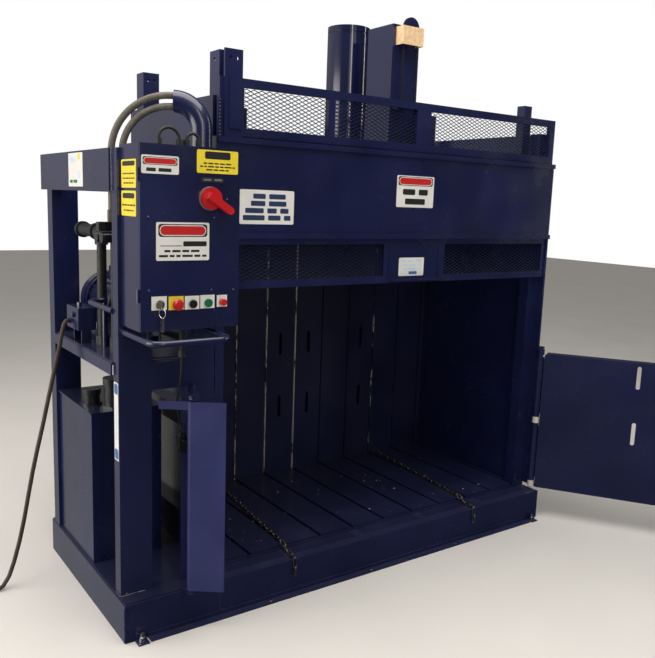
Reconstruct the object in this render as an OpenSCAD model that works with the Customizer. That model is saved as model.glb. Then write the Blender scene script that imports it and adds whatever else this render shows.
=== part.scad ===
// Low-profile recycling baler: floor-standing press with a swing door below and a sliding feed gate above.
// Millimetres. +X right, -Y front, +Z up. The origin is the middle of the base's underside.

/* [Base] */
// Width of the base, left to right
base_w = 2350; // [2250:10:2500]
// Depth of the base, front to back
base_d = 950; // [900:10:1000]
// Height of the base channels
base_h = 152; // [140:1:180]
// Width of the flanges of the base channels
base_flange = 48; // [40:1:60]
// Wall thickness of the rolled channels
channel_t = 6; // [5:0.5:8]
// Thickness of the deck plates
deck_t = 6; // [5:0.5:10]
// Thickness of the grooved floor bars
floor_bar_t = 12; // [8:1:16]
// Depth of the toe angle along the front
toe_d = 38; // [30:1:50]
// Diameter of the anchor bolts
anchor_d = 16; // [12:1:20]

/* [Press chamber] */
// Width of the power-unit bay left of the chamber
bay_w = 400; // [380:5:440]
// Depth of the walls beside the chamber
side_zone = 45; // [40:1:60]
// Number of wall channels across the back
back_count = 10; // [9:1:11]
// Gap between two wall channels, for the tie wires
back_gap = 8; // [5:1:14]
// Depth of the wall channels
back_depth = 50; // [40:1:60]
// Height of the top of the wall channels
back_top = 1600; // [1560:10:1650]
// Length of a tie slot
tie_slot_l = 122; // [100:1:130]
// Width of a tie slot
tie_slot_w = 20; // [14:1:24]
// Thickness of the sheets
sheet_t = 6; // [4:0.5:8]
// Width of the front posts of the chamber
post_w = 60; // [50:1:70]
// Depth of the front posts of the chamber
post_d = 60; // [50:1:70]
// Height of the side walls
body_top = 2065; // [2040:5:2100]

/* [Front panel and feed gate] */
// Height of the panel's lower edge
panel_z = 1536; // [1500:2:1560]
// Height of the panel
panel_h = 377; // [360:1:380]
// Height of the raised gate's lower edge
gate_z = 1328; // [1310:2:1350]
// Height of the gate
gate_h = 805; // [790:5:810]
// Depth of the gate's frame
gate_t = 26; // [20:1:30]
// Width of the gate's rails
gate_rail = 32; // [28:1:36]
// How far the gate travels down
gate_travel = 405; // [380:5:405]
// Clearance of the gate in its guides
gate_clear = 4; // [2:0.5:6]

/* [Platen and cylinder] */
// Height of the raised platen's underside
platen_z = 1548; // [1540:1:1560]
// Height of the platen
platen_h = 150; // [120:5:160]
// Clearance between platen and chamber walls
platen_clear = 6; // [4:1:10]
// How far the platen travels down
platen_travel = 640; // [560:10:640]
// Outside diameter of the cylinder barrel
barrel_d = 206; // [190:2:208]
// Wall of the cylinder barrel
barrel_wall = 12; // [8:1:16]
// Height of the barrel's top
barrel_top = 2520; // [2500:5:2560]
// Diameter of the piston rod
rod_d = 90; // [70:2:110]
// Running clearance of the piston and the rod
fit_clear = 0.05; // [0.02:0.01:0.1]

/* [Gate mast] */
// Width of the mast
mast_w = 154; // [140:1:170]
// Depth of the mast
mast_d = 178; // [150:1:190]
// Height of the mast's top
mast_top = 2462; // [2440:2:2500]
// Radius of the chain sheave at the middle of the chain
sheave_r = 38; // [34:1:40]
// Height of the counterweight
weight_h = 110; // [80:5:120]

/* [Chamber door] */
// Height of the door
door_h = 747; // [700:5:755]
// Gap between door and deck
door_gap = 10; // [6:1:14]
// Thickness of the door
door_t = 60; // [50:1:64]
// How far the door stands open, in degrees from closed
door_open = 124.2; // [100:0.2:150]
// Outside diameter of the hinge tube
hinge_d = 36; // [30:1:38]
// Diameter of the hinge pin
hinge_pin_d = 20; // [16:1:24]

/* [Door latch] */
// Width of the latch plate
latch_w = 131; // [110:1:140]
// Length of the latch lever
latch_arm = 126; // [100:1:126]
// How far the latch plate stands open, in degrees
latch_open = 36; // [20:1:38]

/* [Power-unit bay] */
// Width of the bay's front post
bay_post_w = 127; // [110:1:140]
// Depth of the bay's front post
bay_post_d = 54; // [45:1:60]
// Front plane of the bay's posts
front_y = 68; // [66:1:76]
// Height of the top beam's lower edge
beam_z = 1692; // [1670:2:1710]
// Height of the top beam
beam_h = 152; // [140:1:160]
// How far the top beam reaches past the base at the back
beam_over = 50; // [30:1:60]
// Height of the motor shelf
shelf_z = 1065; // [1040:5:1080]
// Height of the front cross rail
cross_rail_h = 105; // [90:1:120]
// Width of the oil tank
tank_w = 300; // [260:5:320]
// Depth of the oil tank
tank_d = 440; // [420:1:440]
// Height of the oil tank's top
tank_top = 805; // [740:1:820]
// Diameter of the motor's frame
motor_d = 236; // [220:1:244]
// Length of the motor's frame
motor_l = 300; // [260:5:310]

/* [Control box] */
// Width of the control box
box_w = 378; // [360:1:390]
// Height of the control box
box_h = 639; // [600:1:650]
// Depth of the control box
box_d = 180; // [150:1:190]
// Height of the control box's lower edge
box_z = 1216; // [1210:1:1230]
// Diameter of the emergency stop's mushroom
estop_d = 40; // [36:1:44]
// Travel of the push buttons
button_travel = 5; // [3:0.5:6]
// Diameter of the main switch's plate
switch_d = 84; // [74:1:88]

/* [Pipes and hoses] */
// Diameter of the guard tubes
guard_d = 22; // [18:1:26]
// Diameter of the pressure hoses
hose_d = 26; // [22:1:28]
// Diameter of the hose elbow
elbow_d = 82; // [76:1:84]
// Diameter of the power cord
cord_d = 18; // [14:1:20]

/* [Ejector chains] */
// Diameter of the chain's wire
chain_wire = 6; // [5:0.5:6]
// Inside length of a chain link
chain_pitch = 40; // [38:1:50]

/* [Hidden] */
$fn = 48;
navy = "#1b2350";
steel = "#9a9da3";
black = "#17181b";

deck_z = base_h + deck_t;
floor_z = deck_z + floor_bar_t;
chamber_x = bay_w + side_zone;
chamber_w = base_w - bay_w - 2 * side_zone;
chamber_x2 = chamber_x + chamber_w;
centre_x = chamber_x + chamber_w / 2;
back_pitch = chamber_w / back_count;
door_y = front_y - 6;
slide_gap = 0.3;
gate_slack = 10;
gate_y = front_y + sheet_t + slide_gap;
post_y = front_y + sheet_t + gate_t + gate_slack;
wall_y = post_y + post_d;
panel_top = panel_z + panel_h;
right_post_w = post_w + 20;
guide_top = body_top + 168;
latch_x = 257;
latch_y = -30;

module at_corner() {
  translate([-base_w / 2, -base_d / 2, 0])
    children();
}

module along_x(len) {
  rotate([90, 0, 90])
    linear_extrude(len)
      children();
}

module along_y(len) {
  translate([0, len, 0])
    rotate([90, 0, 0])
      linear_extrude(len)
        children();
}

module c_section(h, f, t) {
  difference() {
    square([f, h]);
    translate([t, t])
      square([f, h - 2 * t]);
  }
}

module angle_section(a, b, t) {
  square([a, t]);
  square([t, b]);
}

module box_section(w, h, t) {
  difference() {
    square([w, h]);
    translate([t, t])
      square([w - 2 * t, h - 2 * t]);
  }
}

module slot(l, w, depth) {
  translate([-w / 2, 0, -l / 2 + w / 2])
    cube([w, depth, l - w]);
  for (s = [-1, 1])
    translate([0, 0, s * (l - w) / 2])
      rotate([-90, 0, 0])
        cylinder(d = w, h = depth);
}

module disc_y(d, h) {
  rotate([90, 0, 0])
    cylinder(d = d, h = h);
}

// Base
bearer_count = 5;
bearer_step = (base_w - bay_w) / bearer_count;

module base_frame() {
  color(navy)
    at_corner()
      union() {
        along_x(base_w)
          c_section(base_h, base_flange, channel_t);
        translate([0, base_d, 0])
          mirror([0, 1, 0])
            along_x(base_w)
              c_section(base_h, base_flange, channel_t);
        along_y(base_d)
          c_section(base_h, base_flange, channel_t);
        translate([base_w, 0, 0])
          mirror([1, 0, 0])
            along_y(base_d)
              c_section(base_h, base_flange, channel_t);
        for (i = [0:bearer_count - 1])
          translate([bay_w + i * bearer_step, 0, 0])
            mirror([1, 0, 0])
              along_y(base_d)
                c_section(base_h, base_flange, channel_t);
      }
}

toe_inset = 90;
toe_h = 20;
module toe_angle() {
  color(navy)
    at_corner()
      translate([toe_inset, 0, 0])
        difference() {
          mirror([0, 1, 0])
            along_x(base_w - 2 * toe_inset)
              angle_section(toe_d, toe_h, channel_t);
          for (k = [1:3])
            translate([k * (base_w - 2 * toe_inset) / 4, -toe_d / 2, -1])
              cylinder(d = anchor_d, h = channel_t + 2);
        }
}

anchor_x = 60;
anchor_clip = 44;
nut_af = 1.55 * anchor_d;
module anchor() {
  translate([-anchor_clip / 2, 0, 0])
    difference() {
      mirror([0, 1, 0])
        along_x(anchor_clip)
          angle_section(anchor_clip, 1.2 * anchor_clip, channel_t);
      translate([anchor_clip / 2, -anchor_clip / 2, -1])
        cylinder(d = anchor_d, h = channel_t + 2);
    }
  translate([0, -anchor_clip / 2, 0])
    cylinder(d = anchor_d, h = 38);
  translate([0, -anchor_clip / 2, channel_t])
    cylinder(d = 2 * anchor_d, h = 3);
  translate([0, -anchor_clip / 2, channel_t + 3])
    cylinder(d = nut_af / cos(30), h = 0.8 * anchor_d, $fn = 6);
}

module anchor_bolts() {
  color(steel)
    at_corner() {
      for (x = [anchor_x, base_w - anchor_x]) {
        translate([x, 0, 0])
          anchor();
        translate([x, base_d, 0])
          mirror([0, 1, 0])
            anchor();
      }
    }
}

module bay_deck() {
  color(navy)
    at_corner()
      translate([deck_t, deck_t, base_h])
        cube([bay_w - deck_t, base_d - 2 * deck_t, deck_t]);
}

back_start = bay_w + 12;
function seam_x(i) = min(base_w, back_start + i * back_pitch);
function bar_left(i) = max(chamber_x, seam_x(i)) + back_gap;
function bar_right(i) = min(chamber_x2, seam_x(i + 1)) - back_gap;
module floor_bars(y, depth, t) {
  for (i = [0:back_count])
    if (bar_right(i) > bar_left(i))
      translate([bar_left(i), y, 0])
        cube([bar_right(i) - bar_left(i), depth, t]);
}

module chamber_floor() {
  color(navy)
    at_corner() {
      for (i = [0:bearer_count - 1])
        translate([bay_w + i * bearer_step, base_flange, base_h - deck_t])
          cube([bearer_step - base_flange, post_y - base_flange + deck_t, deck_t]);
      translate([bay_w, post_y, base_h])
        cube([base_w - bay_w, base_d - post_y, deck_t]);
      difference() {
        translate([0, 0, deck_z])
          floor_bars(post_y + back_gap, base_d - post_y - back_gap, floor_bar_t);
        translate([bay_w, post_y, deck_z - 1])
          cube([post_w, post_d, floor_bar_t + 2]);
        translate([base_w - right_post_w, post_y, deck_z - 1])
          cube([right_post_w, post_d, floor_bar_t + 2]);
      }
    }
}

back_foot = 60;
tie_z = [544, 897];
tie_first = 2;
tie_columns = [0, 2, 3, 5];
tie_guide_w = 60;
tie_guide_d = 30;
tie_guide_over = 100;
rear_tie_z = [180, 760, 1480];
rear_tie_h = 80;
module back_wall() {
  color(navy)
    at_corner() {
      difference() {
        for (i = [0:back_count])
          translate([seam_x(i) + back_gap / 2, base_d, back_foot])
            linear_extrude(back_top - back_foot)
              translate([seam_x(i + 1) - seam_x(i) - back_gap, 0])
                rotate(90)
                  c_section(seam_x(i + 1) - seam_x(i) - back_gap, back_depth, channel_t);
        for (k = tie_columns, z = tie_z)
          translate([seam_x(tie_first + k) + back_pitch / 2, base_d - 1, z])
            slot(tie_slot_l, tie_slot_w, channel_t + 2);
      }
      for (z = rear_tie_z)
        translate([bay_w, base_d + back_depth, z])
          cube([base_w - bay_w, 8, rear_tie_h]);
      for (k = tie_columns)
        translate([seam_x(tie_first + k) + back_pitch / 2 - tie_guide_w / 2,
               base_d + channel_t + tie_guide_d, tie_z[0] - tie_guide_over])
          linear_extrude(tie_z[1] - tie_z[0] + 2 * tie_guide_over)
            rotate(-90)
              c_section(tie_guide_w, tie_guide_d, channel_t / 2);
    }
}

rib_z = [158, 700, 1240];
rib_h = [base_h, 80, 80];
top_rib_h = 175;
module side_wall() {
  translate([side_zone - sheet_t, wall_y, deck_z])
    cube([sheet_t, base_d - wall_y, body_top - deck_z]);
  for (i = [0:len(rib_z) - 1])
    translate([0, wall_y, max(rib_z[i], deck_z)])
      along_y(base_d - wall_y)
        c_section(rib_h[i], side_zone - sheet_t, channel_t - 1);
  translate([0, wall_y, body_top - top_rib_h])
    along_y(base_d - wall_y)
      c_section(top_rib_h, side_zone - sheet_t, channel_t - 1);
  translate([0, base_d - post_d, deck_z])
    linear_extrude(body_top - deck_z)
      box_section(side_zone - sheet_t, post_d, channel_t - 1);
}

module left_wall() {
  color(navy)
    at_corner()
      translate([bay_w, 0, 0])
        side_wall();
}

module right_wall() {
  color(navy)
    at_corner()
      translate([base_w, 0, 0])
        mirror([1, 0, 0])
          side_wall();
}

module front_posts() {
  color(navy)
    at_corner() {
      translate([bay_w, post_y, deck_z])
        linear_extrude(body_top - deck_z)
          box_section(post_w, post_d, channel_t);
      translate([base_w - right_post_w, post_y, deck_z])
        linear_extrude(body_top - deck_z)
          box_section(right_post_w, post_d, channel_t);
    }
}

// Bay frame
bay_post_x = 10;
middle_post_w = 115;
middle_post_x = bay_w - middle_post_w - 3;
bay_top = beam_z + beam_h;
module front_channel(w, h) {
  linear_extrude(h)
    translate([w, 0])
      rotate(90)
        c_section(w, bay_post_d, channel_t);
}

module bay_front_post() {
  color(navy)
    at_corner()
      translate([bay_post_x, front_y, deck_z])
        front_channel(bay_post_w, bay_top - deck_z);
}

module bay_middle_post() {
  color(navy)
    at_corner()
      translate([middle_post_x, front_y, deck_z])
        front_channel(middle_post_w, bay_top - deck_z);
}

rear_post_w = 112;
rear_post_y = base_d - 115;
rear_post_d = 70;
module bay_rear_post() {
  color(navy)
    at_corner()
      translate([0, rear_post_y, deck_z])
        linear_extrude(beam_z - deck_z)
          translate([rear_post_w, 0])
            rotate(90)
              c_section(rear_post_w, rear_post_d, channel_t);
}

beam_y = front_y + bay_post_d;
module top_beams() {
  color(navy)
    at_corner() {
      translate([0, beam_y, beam_z])
        along_y(base_d + beam_over - beam_y)
          c_section(beam_h, base_flange, channel_t);
      translate([base_flange, base_d + beam_over, beam_z])
        mirror([0, 1, 0])
          along_x(bay_w - base_flange)
            c_section(beam_h, base_flange, channel_t);
      translate([bay_post_x + bay_post_w, front_y, beam_z])
        along_x(middle_post_x - bay_post_x - bay_post_w)
          c_section(beam_h, base_flange, channel_t);
    }
}

side_rail_h = 45;
shelf_t = 6;
module motor_shelf() {
  color(navy)
    at_corner() {
      translate([0, beam_y, shelf_z - side_rail_h])
        along_y(rear_post_y - beam_y)
          mirror([0, 1])
            translate([0, -side_rail_h])
              angle_section(side_rail_h, side_rail_h, channel_t);
      translate([bay_w - side_rail_h, wall_y, shelf_z - side_rail_h])
        cube([side_rail_h, rear_post_y - wall_y, side_rail_h - channel_t]);
      translate([channel_t, beam_y, shelf_z])
        cube([bay_w - channel_t, rear_post_y - beam_y, shelf_t]);
      translate([bay_post_x + bay_post_w, front_y, shelf_z - cross_rail_h])
        along_x(middle_post_x - bay_post_x - bay_post_w)
          c_section(cross_rail_h, base_flange, channel_t);
    }
}

// Housing above the feed opening
lip_h = 22;
lip_t = 10;
module front_panel() {
  color(navy)
    at_corner() {
      translate([bay_w, front_y, panel_z])
        cube([base_w - bay_w, sheet_t, panel_h]);
      for (z = [panel_z - 8, panel_top - lip_h])
        translate([bay_w + 2, front_y - lip_t, z])
          cube([base_w - bay_w - 2, lip_t, lip_h]);
      for (x = [bay_w, base_w - sheet_t])
        translate([x, front_y + sheet_t, panel_z])
          cube([sheet_t, post_y - front_y - sheet_t, panel_h]);
    }
}

module rear_panel() {
  color(navy)
    at_corner()
      translate([bay_w, base_d, back_top])
        along_x(base_w - bay_w)
          c_section(panel_top - back_top, back_depth, sheet_t);
}

guide_lip = 12;
guide_z = deck_z + door_gap + door_h + 15;
module gate_guides() {
  color(navy)
    at_corner()
      for (side = [0, 1])
        translate([side * base_w + (1 - side) * bay_w, 0, guide_z])
          mirror([side, 0, 0])
            linear_extrude(panel_z - guide_z)
              translate([0, front_y])
                difference() {
                  square([guide_lip, post_y - front_y]);
                  translate([sheet_t, sheet_t])
                    square([guide_lip, post_y - front_y]);
                }
}

post_x = bay_w + 26;
guide_w = 76;
guide_d = 80;
slim_guide = 55;
hook_w = 50;
hook_h = 80;
hook_t = 12;
hook_z = body_top - 114;
slim_x = chamber_x2 - 95;
module slim_post(y) {
  translate([slim_x, y, panel_top - 8])
    linear_extrude(guide_top - panel_top - 20)
      box_section(slim_guide, slim_guide - 5, channel_t);
}

module guide_posts() {
  color(navy)
    at_corner() {
      difference() {
        union() {
          translate([post_x, post_y, body_top])
            linear_extrude(guide_top - body_top)
              box_section(guide_w, guide_d, channel_t);
          translate([post_x, base_d - guide_d - 10, body_top])
            linear_extrude(guide_top - body_top)
              box_section(guide_w, guide_d, channel_t);
          translate([post_x, front_y - 4, panel_top])
            cube([guide_w, sheet_t + 4, guide_top - panel_top]);
          translate([post_x + 18, front_y - 10, panel_top + 30])
            cube([guide_w - 26, 6, 190]);
          translate([bay_w + post_w, post_y + 8, hook_z + hook_h - hook_t])
            cube([post_x + guide_w + hook_w - bay_w - post_w, hook_t, hook_t]);
          translate([post_x + guide_w + hook_w - hook_t, post_y + 8, hook_z])
            cube([hook_t, hook_t, hook_h]);
        }
        for (x = [0.3, 0.7])
          translate([post_x + x * guide_w, base_d, guide_top - 32])
            disc_y(14, base_d + 10);
        translate([post_x - 1, post_y + guide_d / 2, guide_top - 32])
          rotate([0, 90, 0])
            cylinder(d = 14, h = channel_t + 2);
      }
      slim_post(wall_y + 2);
      slim_post(base_d - slim_guide);
    }
}

// Press
press_beam_z = panel_top - 8 - beam_h;
cross_beam_h = 105;
cyl_y = wall_y + 420;
beam_gap = barrel_d / 2 + 10;
module press_beams() {
  color(navy)
    at_corner()
      difference() {
        union() {
          translate([chamber_x, wall_y + 2, panel_top - 8 - cross_beam_h])
            along_x(chamber_w)
              c_section(cross_beam_h, base_flange, channel_t);
          translate([chamber_x, base_d, panel_top - 8 - cross_beam_h])
            mirror([0, 1, 0])
              along_x(chamber_w)
                c_section(cross_beam_h, base_flange, channel_t);
          for (s = [-1, 1])
            translate([centre_x, wall_y + 2, press_beam_z])
              mirror([s < 0 ? 1 : 0, 0, 0])
                translate([beam_gap, channel_t, 0])
                  along_y(base_d - wall_y - 2 - 2 * channel_t)
                    c_section(beam_h, base_flange, channel_t);
          translate([centre_x - beam_gap - 45, cyl_y - 155, panel_top - 8])
            cube([2 * beam_gap + 90, 310, 24]);
          translate([centre_x - beam_gap - 45, mast_y, panel_top - 8])
            cube([2 * beam_gap + 90, mast_d + 60, 10]);
        }
        translate([centre_x, cyl_y, panel_top - 20])
          cylinder(d = barrel_d + 0.6, h = 60, $fn = 96);
      }
}

gland_z = press_beam_z;
gland_h = 40;
cap_h = 26;
port_z = barrel_top - 110;
bore_d = barrel_d - 2 * barrel_wall;
module cylinder_barrel() {
  color(navy)
    at_corner()
      translate([centre_x, cyl_y, 0])
        difference() {
          union() {
            translate([0, 0, gland_z])
              cylinder(d = barrel_d, h = barrel_top - gland_z - cap_h - 8, $fn = 96);
            translate([0, 0, barrel_top - cap_h - 8])
              cylinder(d = barrel_d - 6, h = 8, $fn = 96);
            translate([0, 0, barrel_top - cap_h])
              cylinder(d = barrel_d, h = cap_h, $fn = 96);
            translate([0, 0, port_z])
              rotate([-90, 0, 0])
                cylinder(d = 44, h = barrel_d / 2 + 26);
            translate([0, 0, panel_top + 16])
              difference() {
                cylinder(d = barrel_d + 44, h = 18, $fn = 96);
                for (a = [0:60:300])
                  rotate(a + 30)
                    translate([barrel_d / 2 + 12, 0, -1])
                      cylinder(d = 11, h = 20);
              }
          }
          translate([0, 0, gland_z + gland_h])
            cylinder(d = bore_d, h = barrel_top - gland_z - gland_h - cap_h, $fn = 96);
          translate([0, 0, gland_z - 1])
            cylinder(d = rod_d + 2 * fit_clear, h = gland_h + 2, $fn = 96);
          translate([0, 0, port_z])
            rotate([-90, 0, 0])
              cylinder(d = 22, h = barrel_d);
        }
}

piston_h = 40;
piston_z = barrel_top - cap_h - piston_h - 12;
clevis_h = 34;
module piston_rod() {
  color("#c9ccd1")
    at_corner()
      translate([centre_x, cyl_y, 0]) {
        translate([0, 0, platen_z + platen_h + clevis_h - 10])
          cylinder(d = rod_d, h = piston_z - platen_z - platen_h - clevis_h + 10, $fn = 96);
        translate([0, 0, piston_z])
          cylinder(d = bore_d - 2 * fit_clear, h = piston_h, $fn = 96);
      }
}

platen_x = chamber_x + platen_clear;
platen_y = wall_y + platen_clear;
platen_w = chamber_w - 2 * platen_clear;
platen_d = base_d - platen_clear - platen_y;
module platen() {
  color(navy)
    at_corner()
      difference() {
        union() {
          translate([platen_x, platen_y, platen_z + floor_bar_t])
            cube([platen_w, platen_d, 10]);
          translate([0, 0, platen_z])
            floor_bars(platen_y, platen_d, floor_bar_t);
          for (y = [platen_y, platen_y + platen_d / 3, cyl_y + 60, platen_y + platen_d - base_flange])
            translate([platen_x, y, platen_z + 22])
              along_x(platen_w)
                c_section(platen_h - 34, base_flange, channel_t);
          for (s = [-1, 1], x = [0.5, 0.2])
            translate([centre_x + s * x * platen_w - (s > 0 ? 20 : 0), platen_y, platen_z + 22])
              cube([20, platen_d, platen_h - 34]);
          translate([centre_x - 160, cyl_y - 160, platen_z + platen_h - 12])
            cube([320, 320, 12]);
          translate([centre_x, cyl_y, platen_z + platen_h])
            cylinder(d = rod_d + 40, h = clevis_h);
        }
        translate([centre_x, cyl_y, platen_z + platen_h + clevis_h - 10])
          cylinder(d = rod_d, h = 40, $fn = 96);
      }
}

// Mast, chain and counterweight
mast_y = post_y + 45;
mast_z = panel_top + 2;
mast_wall = 6;
sheave_z = mast_top - 8;
sheave_y = mast_y - 26;
shaft_d = 20;
module gate_mast() {
  color(navy)
    at_corner() {
      translate([centre_x - mast_w / 2, mast_y, mast_z])
        linear_extrude(mast_top - mast_z)
          box_section(mast_w, mast_d, mast_wall);
      translate([centre_x - mast_w / 2, mast_y, mast_top])
        cube([mast_w, mast_d, 4]);
      translate([centre_x, mast_y, sheave_z])
        disc_y(shaft_d, 38);
      translate([centre_x, mast_y, sheave_z])
        disc_y(shaft_d + 14, 16);
      for (z = [mast_top - 30, mast_z + 90])
        translate([centre_x + mast_w / 2, mast_y + 24, z])
          rotate([0, 90, 0])
            cylinder(d = 22, h = 14, $fn = 6);
    }
}

chain_link = 16;
chain_roller = 8;
chain_t = 7;
chain_plate = 2;
gate_chain_end = gate_z + gate_h - gate_travel - 20;
module chain_joint(i) {
  disc_y(chain_roller, chain_t);
  translate([-3, i % 2 == 0 ? -chain_t : -chain_plate, -chain_link / 2])
    cube([6, chain_plate, chain_link]);
}

core_t = chain_t - 2 * chain_plate + 1;
module chain_core(h) {
  translate([-core_t / 2, -(chain_t + core_t) / 2, 0])
    cube([core_t, core_t, h]);
}

module chain_strand(z0) {
  count = floor((sheave_z - z0) / chain_link);
  for (i = [0:count - 1])
    translate([0, 0, sheave_z - (i + 0.5) * chain_link])
      chain_joint(i);
  translate([0, 0, sheave_z - count * chain_link])
    chain_core(count * chain_link);
}

module mast_chains() {
  wrap = floor(PI * sheave_r / chain_link);
  color(steel)
    at_corner()
      translate([centre_x, sheave_y, 0]) {
        translate([-sheave_r, 0, 0])
          chain_strand(gate_chain_end);
        translate([sheave_r, 0, 0])
          chain_strand(mast_z + 30);
        for (i = [0:wrap - 1])
          translate([0, 0, sheave_z])
            rotate([0, -(i + 0.5) * 180 / wrap, 0])
              translate([sheave_r, 0, 0])
                chain_joint(i + 1);
        translate([0, -(chain_t - core_t) / 2, sheave_z])
          rotate([90, 0, 0])
            rotate_extrude(angle = 180)
              translate([sheave_r - core_t / 2, 0])
                square(core_t);
      }
}

cover_w = 118;
cover_h = 78;
cover_reach = 24;
cover_t = 3;
module chain_cover() {
  color("#c9a25c")
    at_corner()
      translate([centre_x - cover_w / 2, sheave_y - cover_reach, sheave_z + 1 - cover_h])
        difference() {
          cube([cover_w, mast_y - sheave_y + cover_reach, cover_h]);
          translate([cover_t, cover_t, -1])
            cube([cover_w - 2 * cover_t, mast_y, cover_h + 2]);
        }
}

sheave_rim = sheave_r + 5;
sheave_root = sheave_r - chain_roller / 2 - slide_gap;
flange_t = 2;
module chain_sheave() {
  half = chain_t / 2 + slide_gap;
  color(navy)
    at_corner()
      translate([centre_x, sheave_y - chain_t / 2, sheave_z])
        rotate([90, 0, 0])
          rotate_extrude($fn = 96)
            polygon([[shaft_d / 2 + fit_clear, -half - flange_t], [sheave_rim, -half - flange_t],
                 [sheave_rim, -half], [sheave_root, -half], [sheave_root, half],
                 [sheave_rim, half], [sheave_rim, half + flange_t],
                 [shaft_d / 2 + fit_clear, half + flange_t]]);
}

weight_gap = slide_gap;
module counterweight() {
  color(black)
    at_corner()
      translate([centre_x - mast_w / 2 + mast_wall + weight_gap,
             mast_y + mast_wall + weight_gap, mast_z + 14])
        cube([mast_w - 2 * (mast_wall + weight_gap),
            mast_d - 2 * (mast_wall + weight_gap), weight_h]);
}

// Feed gate
gate_x = bay_w + sheet_t + gate_clear;
gate_w = base_w - bay_w - 2 * (sheet_t + gate_clear);
plate_w = 372;
plate_x = centre_x + 49 - plate_w / 2;
plate_bar = 30;
upper_stile = 44;
side_stile = 105;
mid_rail_z = gate_z + 175;
upper_rail_z = panel_top + 5;
divider_x = gate_x + 0.26 * gate_w;
pull_z = gate_z + 10;
pull_reach = 28;
module gate_bar(x, z, w, h) {
  translate([x, gate_y, z])
    cube([w, gate_t, h]);
}

module feed_gate() {
  above = gate_z + gate_h - upper_rail_z;
  color(navy)
    at_corner() {
      for (z = [gate_z, mid_rail_z, upper_rail_z, gate_z + gate_h - gate_rail])
        gate_bar(gate_x, z, gate_w, gate_rail);
      for (x = [gate_x, gate_x + gate_w - gate_rail])
        gate_bar(x, gate_z, gate_rail, gate_h);
      gate_bar(gate_x, upper_rail_z, side_stile, above);
      gate_bar(divider_x, upper_rail_z, gate_rail, above);
      gate_bar(centre_x + 20, upper_rail_z, upper_stile + 40, above);
      gate_bar(plate_x, gate_z, plate_w, mid_rail_z - gate_z);
      for (x = [plate_x + plate_bar, plate_x + plate_w - plate_bar - 12])
        translate([x, gate_y - 3, gate_z + 12])
          cube([12, 3, mid_rail_z - gate_z - 24]);
      translate([plate_x + plate_bar, gate_y - pull_reach, pull_z])
        cube([plate_w - plate_bar - 10, pull_reach, 6]);
      difference() {
        translate([centre_x - 70, gate_y + gate_t, gate_z + gate_h - gate_rail])
          cube([70, sheave_y - gate_y - gate_t + 16, 14]);
        translate([centre_x - sheave_r - 8, sheave_y - 13, gate_z])
          cube([16, 20, gate_h + 20]);
      }
    }
}

mesh_t = 3;
diamond_w = 92;
diamond_h = 52;
module diamond(w, h) {
  polygon([[-w / 2, 0], [0, -h / 2], [w / 2, 0], [0, h / 2]]);
}

module mesh_panel(w, h) {
  nx = round(w / diamond_w);
  nz = max(1, round(h / diamond_h));
  px = w / nx;
  pz = h / nz;
  translate([0, mesh_t, 0])
    rotate([90, 0, 0])
      linear_extrude(mesh_t)
        difference() {
          square([w, h]);
          for (i = [0:nx - 1], j = [0:nz - 1])
            translate([(i + 0.5) * px, (j + 0.5) * pz])
              diamond(px - 12, pz - 8);
        }
}

mesh_y = gate_y + (gate_t - mesh_t) / 2;
module mesh_between(x1, x2, z1, z2) {
  translate([x1, mesh_y, z1])
    mesh_panel(x2 - x1, z2 - z1);
}

module gate_mesh() {
  left = gate_x + gate_rail;
  right = gate_x + gate_w - gate_rail;
  lower_z = gate_z + gate_rail;
  middle_z = mid_rail_z + gate_rail;
  upper_z = upper_rail_z + gate_rail;
  upper_end = gate_z + gate_h - gate_rail;
  color("#2a3057")
    at_corner() {
      mesh_between(left, plate_x, lower_z, mid_rail_z);
      mesh_between(plate_x + plate_w, right, lower_z, mid_rail_z);
      mesh_between(left, centre_x, middle_z, upper_rail_z);
      mesh_between(centre_x, right, middle_z, upper_rail_z);
      mesh_between(gate_x + side_stile, divider_x, upper_z, upper_end);
      mesh_between(divider_x + gate_rail, centre_x + 20, upper_z, upper_end);
      mesh_between(centre_x + 60 + upper_stile, right, upper_z, upper_end);
    }
}

// Chamber door
hinge_x = base_w - 9;
leaf_x = base_w - hinge_x;
leaf_t = 8;
hinge_y = 46;
door_z = deck_z + door_gap + 2;
door_in = door_y - hinge_y;
door_lap = 21;
door_len = hinge_x - latch_x - latch_w + door_lap;
door_start = 20;
door_tie_x = 497;
door_tie_z = [538, 838];
door_cut = 20;
door_rib_w = 76;
knuckles = [[0, 34], [362, 34], [door_h - 8, 30]];
module at_hinge() {
  at_corner()
    translate([hinge_x, hinge_y, 0])
      children();
}

module door_knuckle_gap(k, d, margin) {
  z = door_z + knuckles[k][0] + knuckles[k][1] + margin;
  translate([0, 0, z])
    cylinder(d = d, h = door_z + knuckles[k + 1][0] - margin - z);
}

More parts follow.
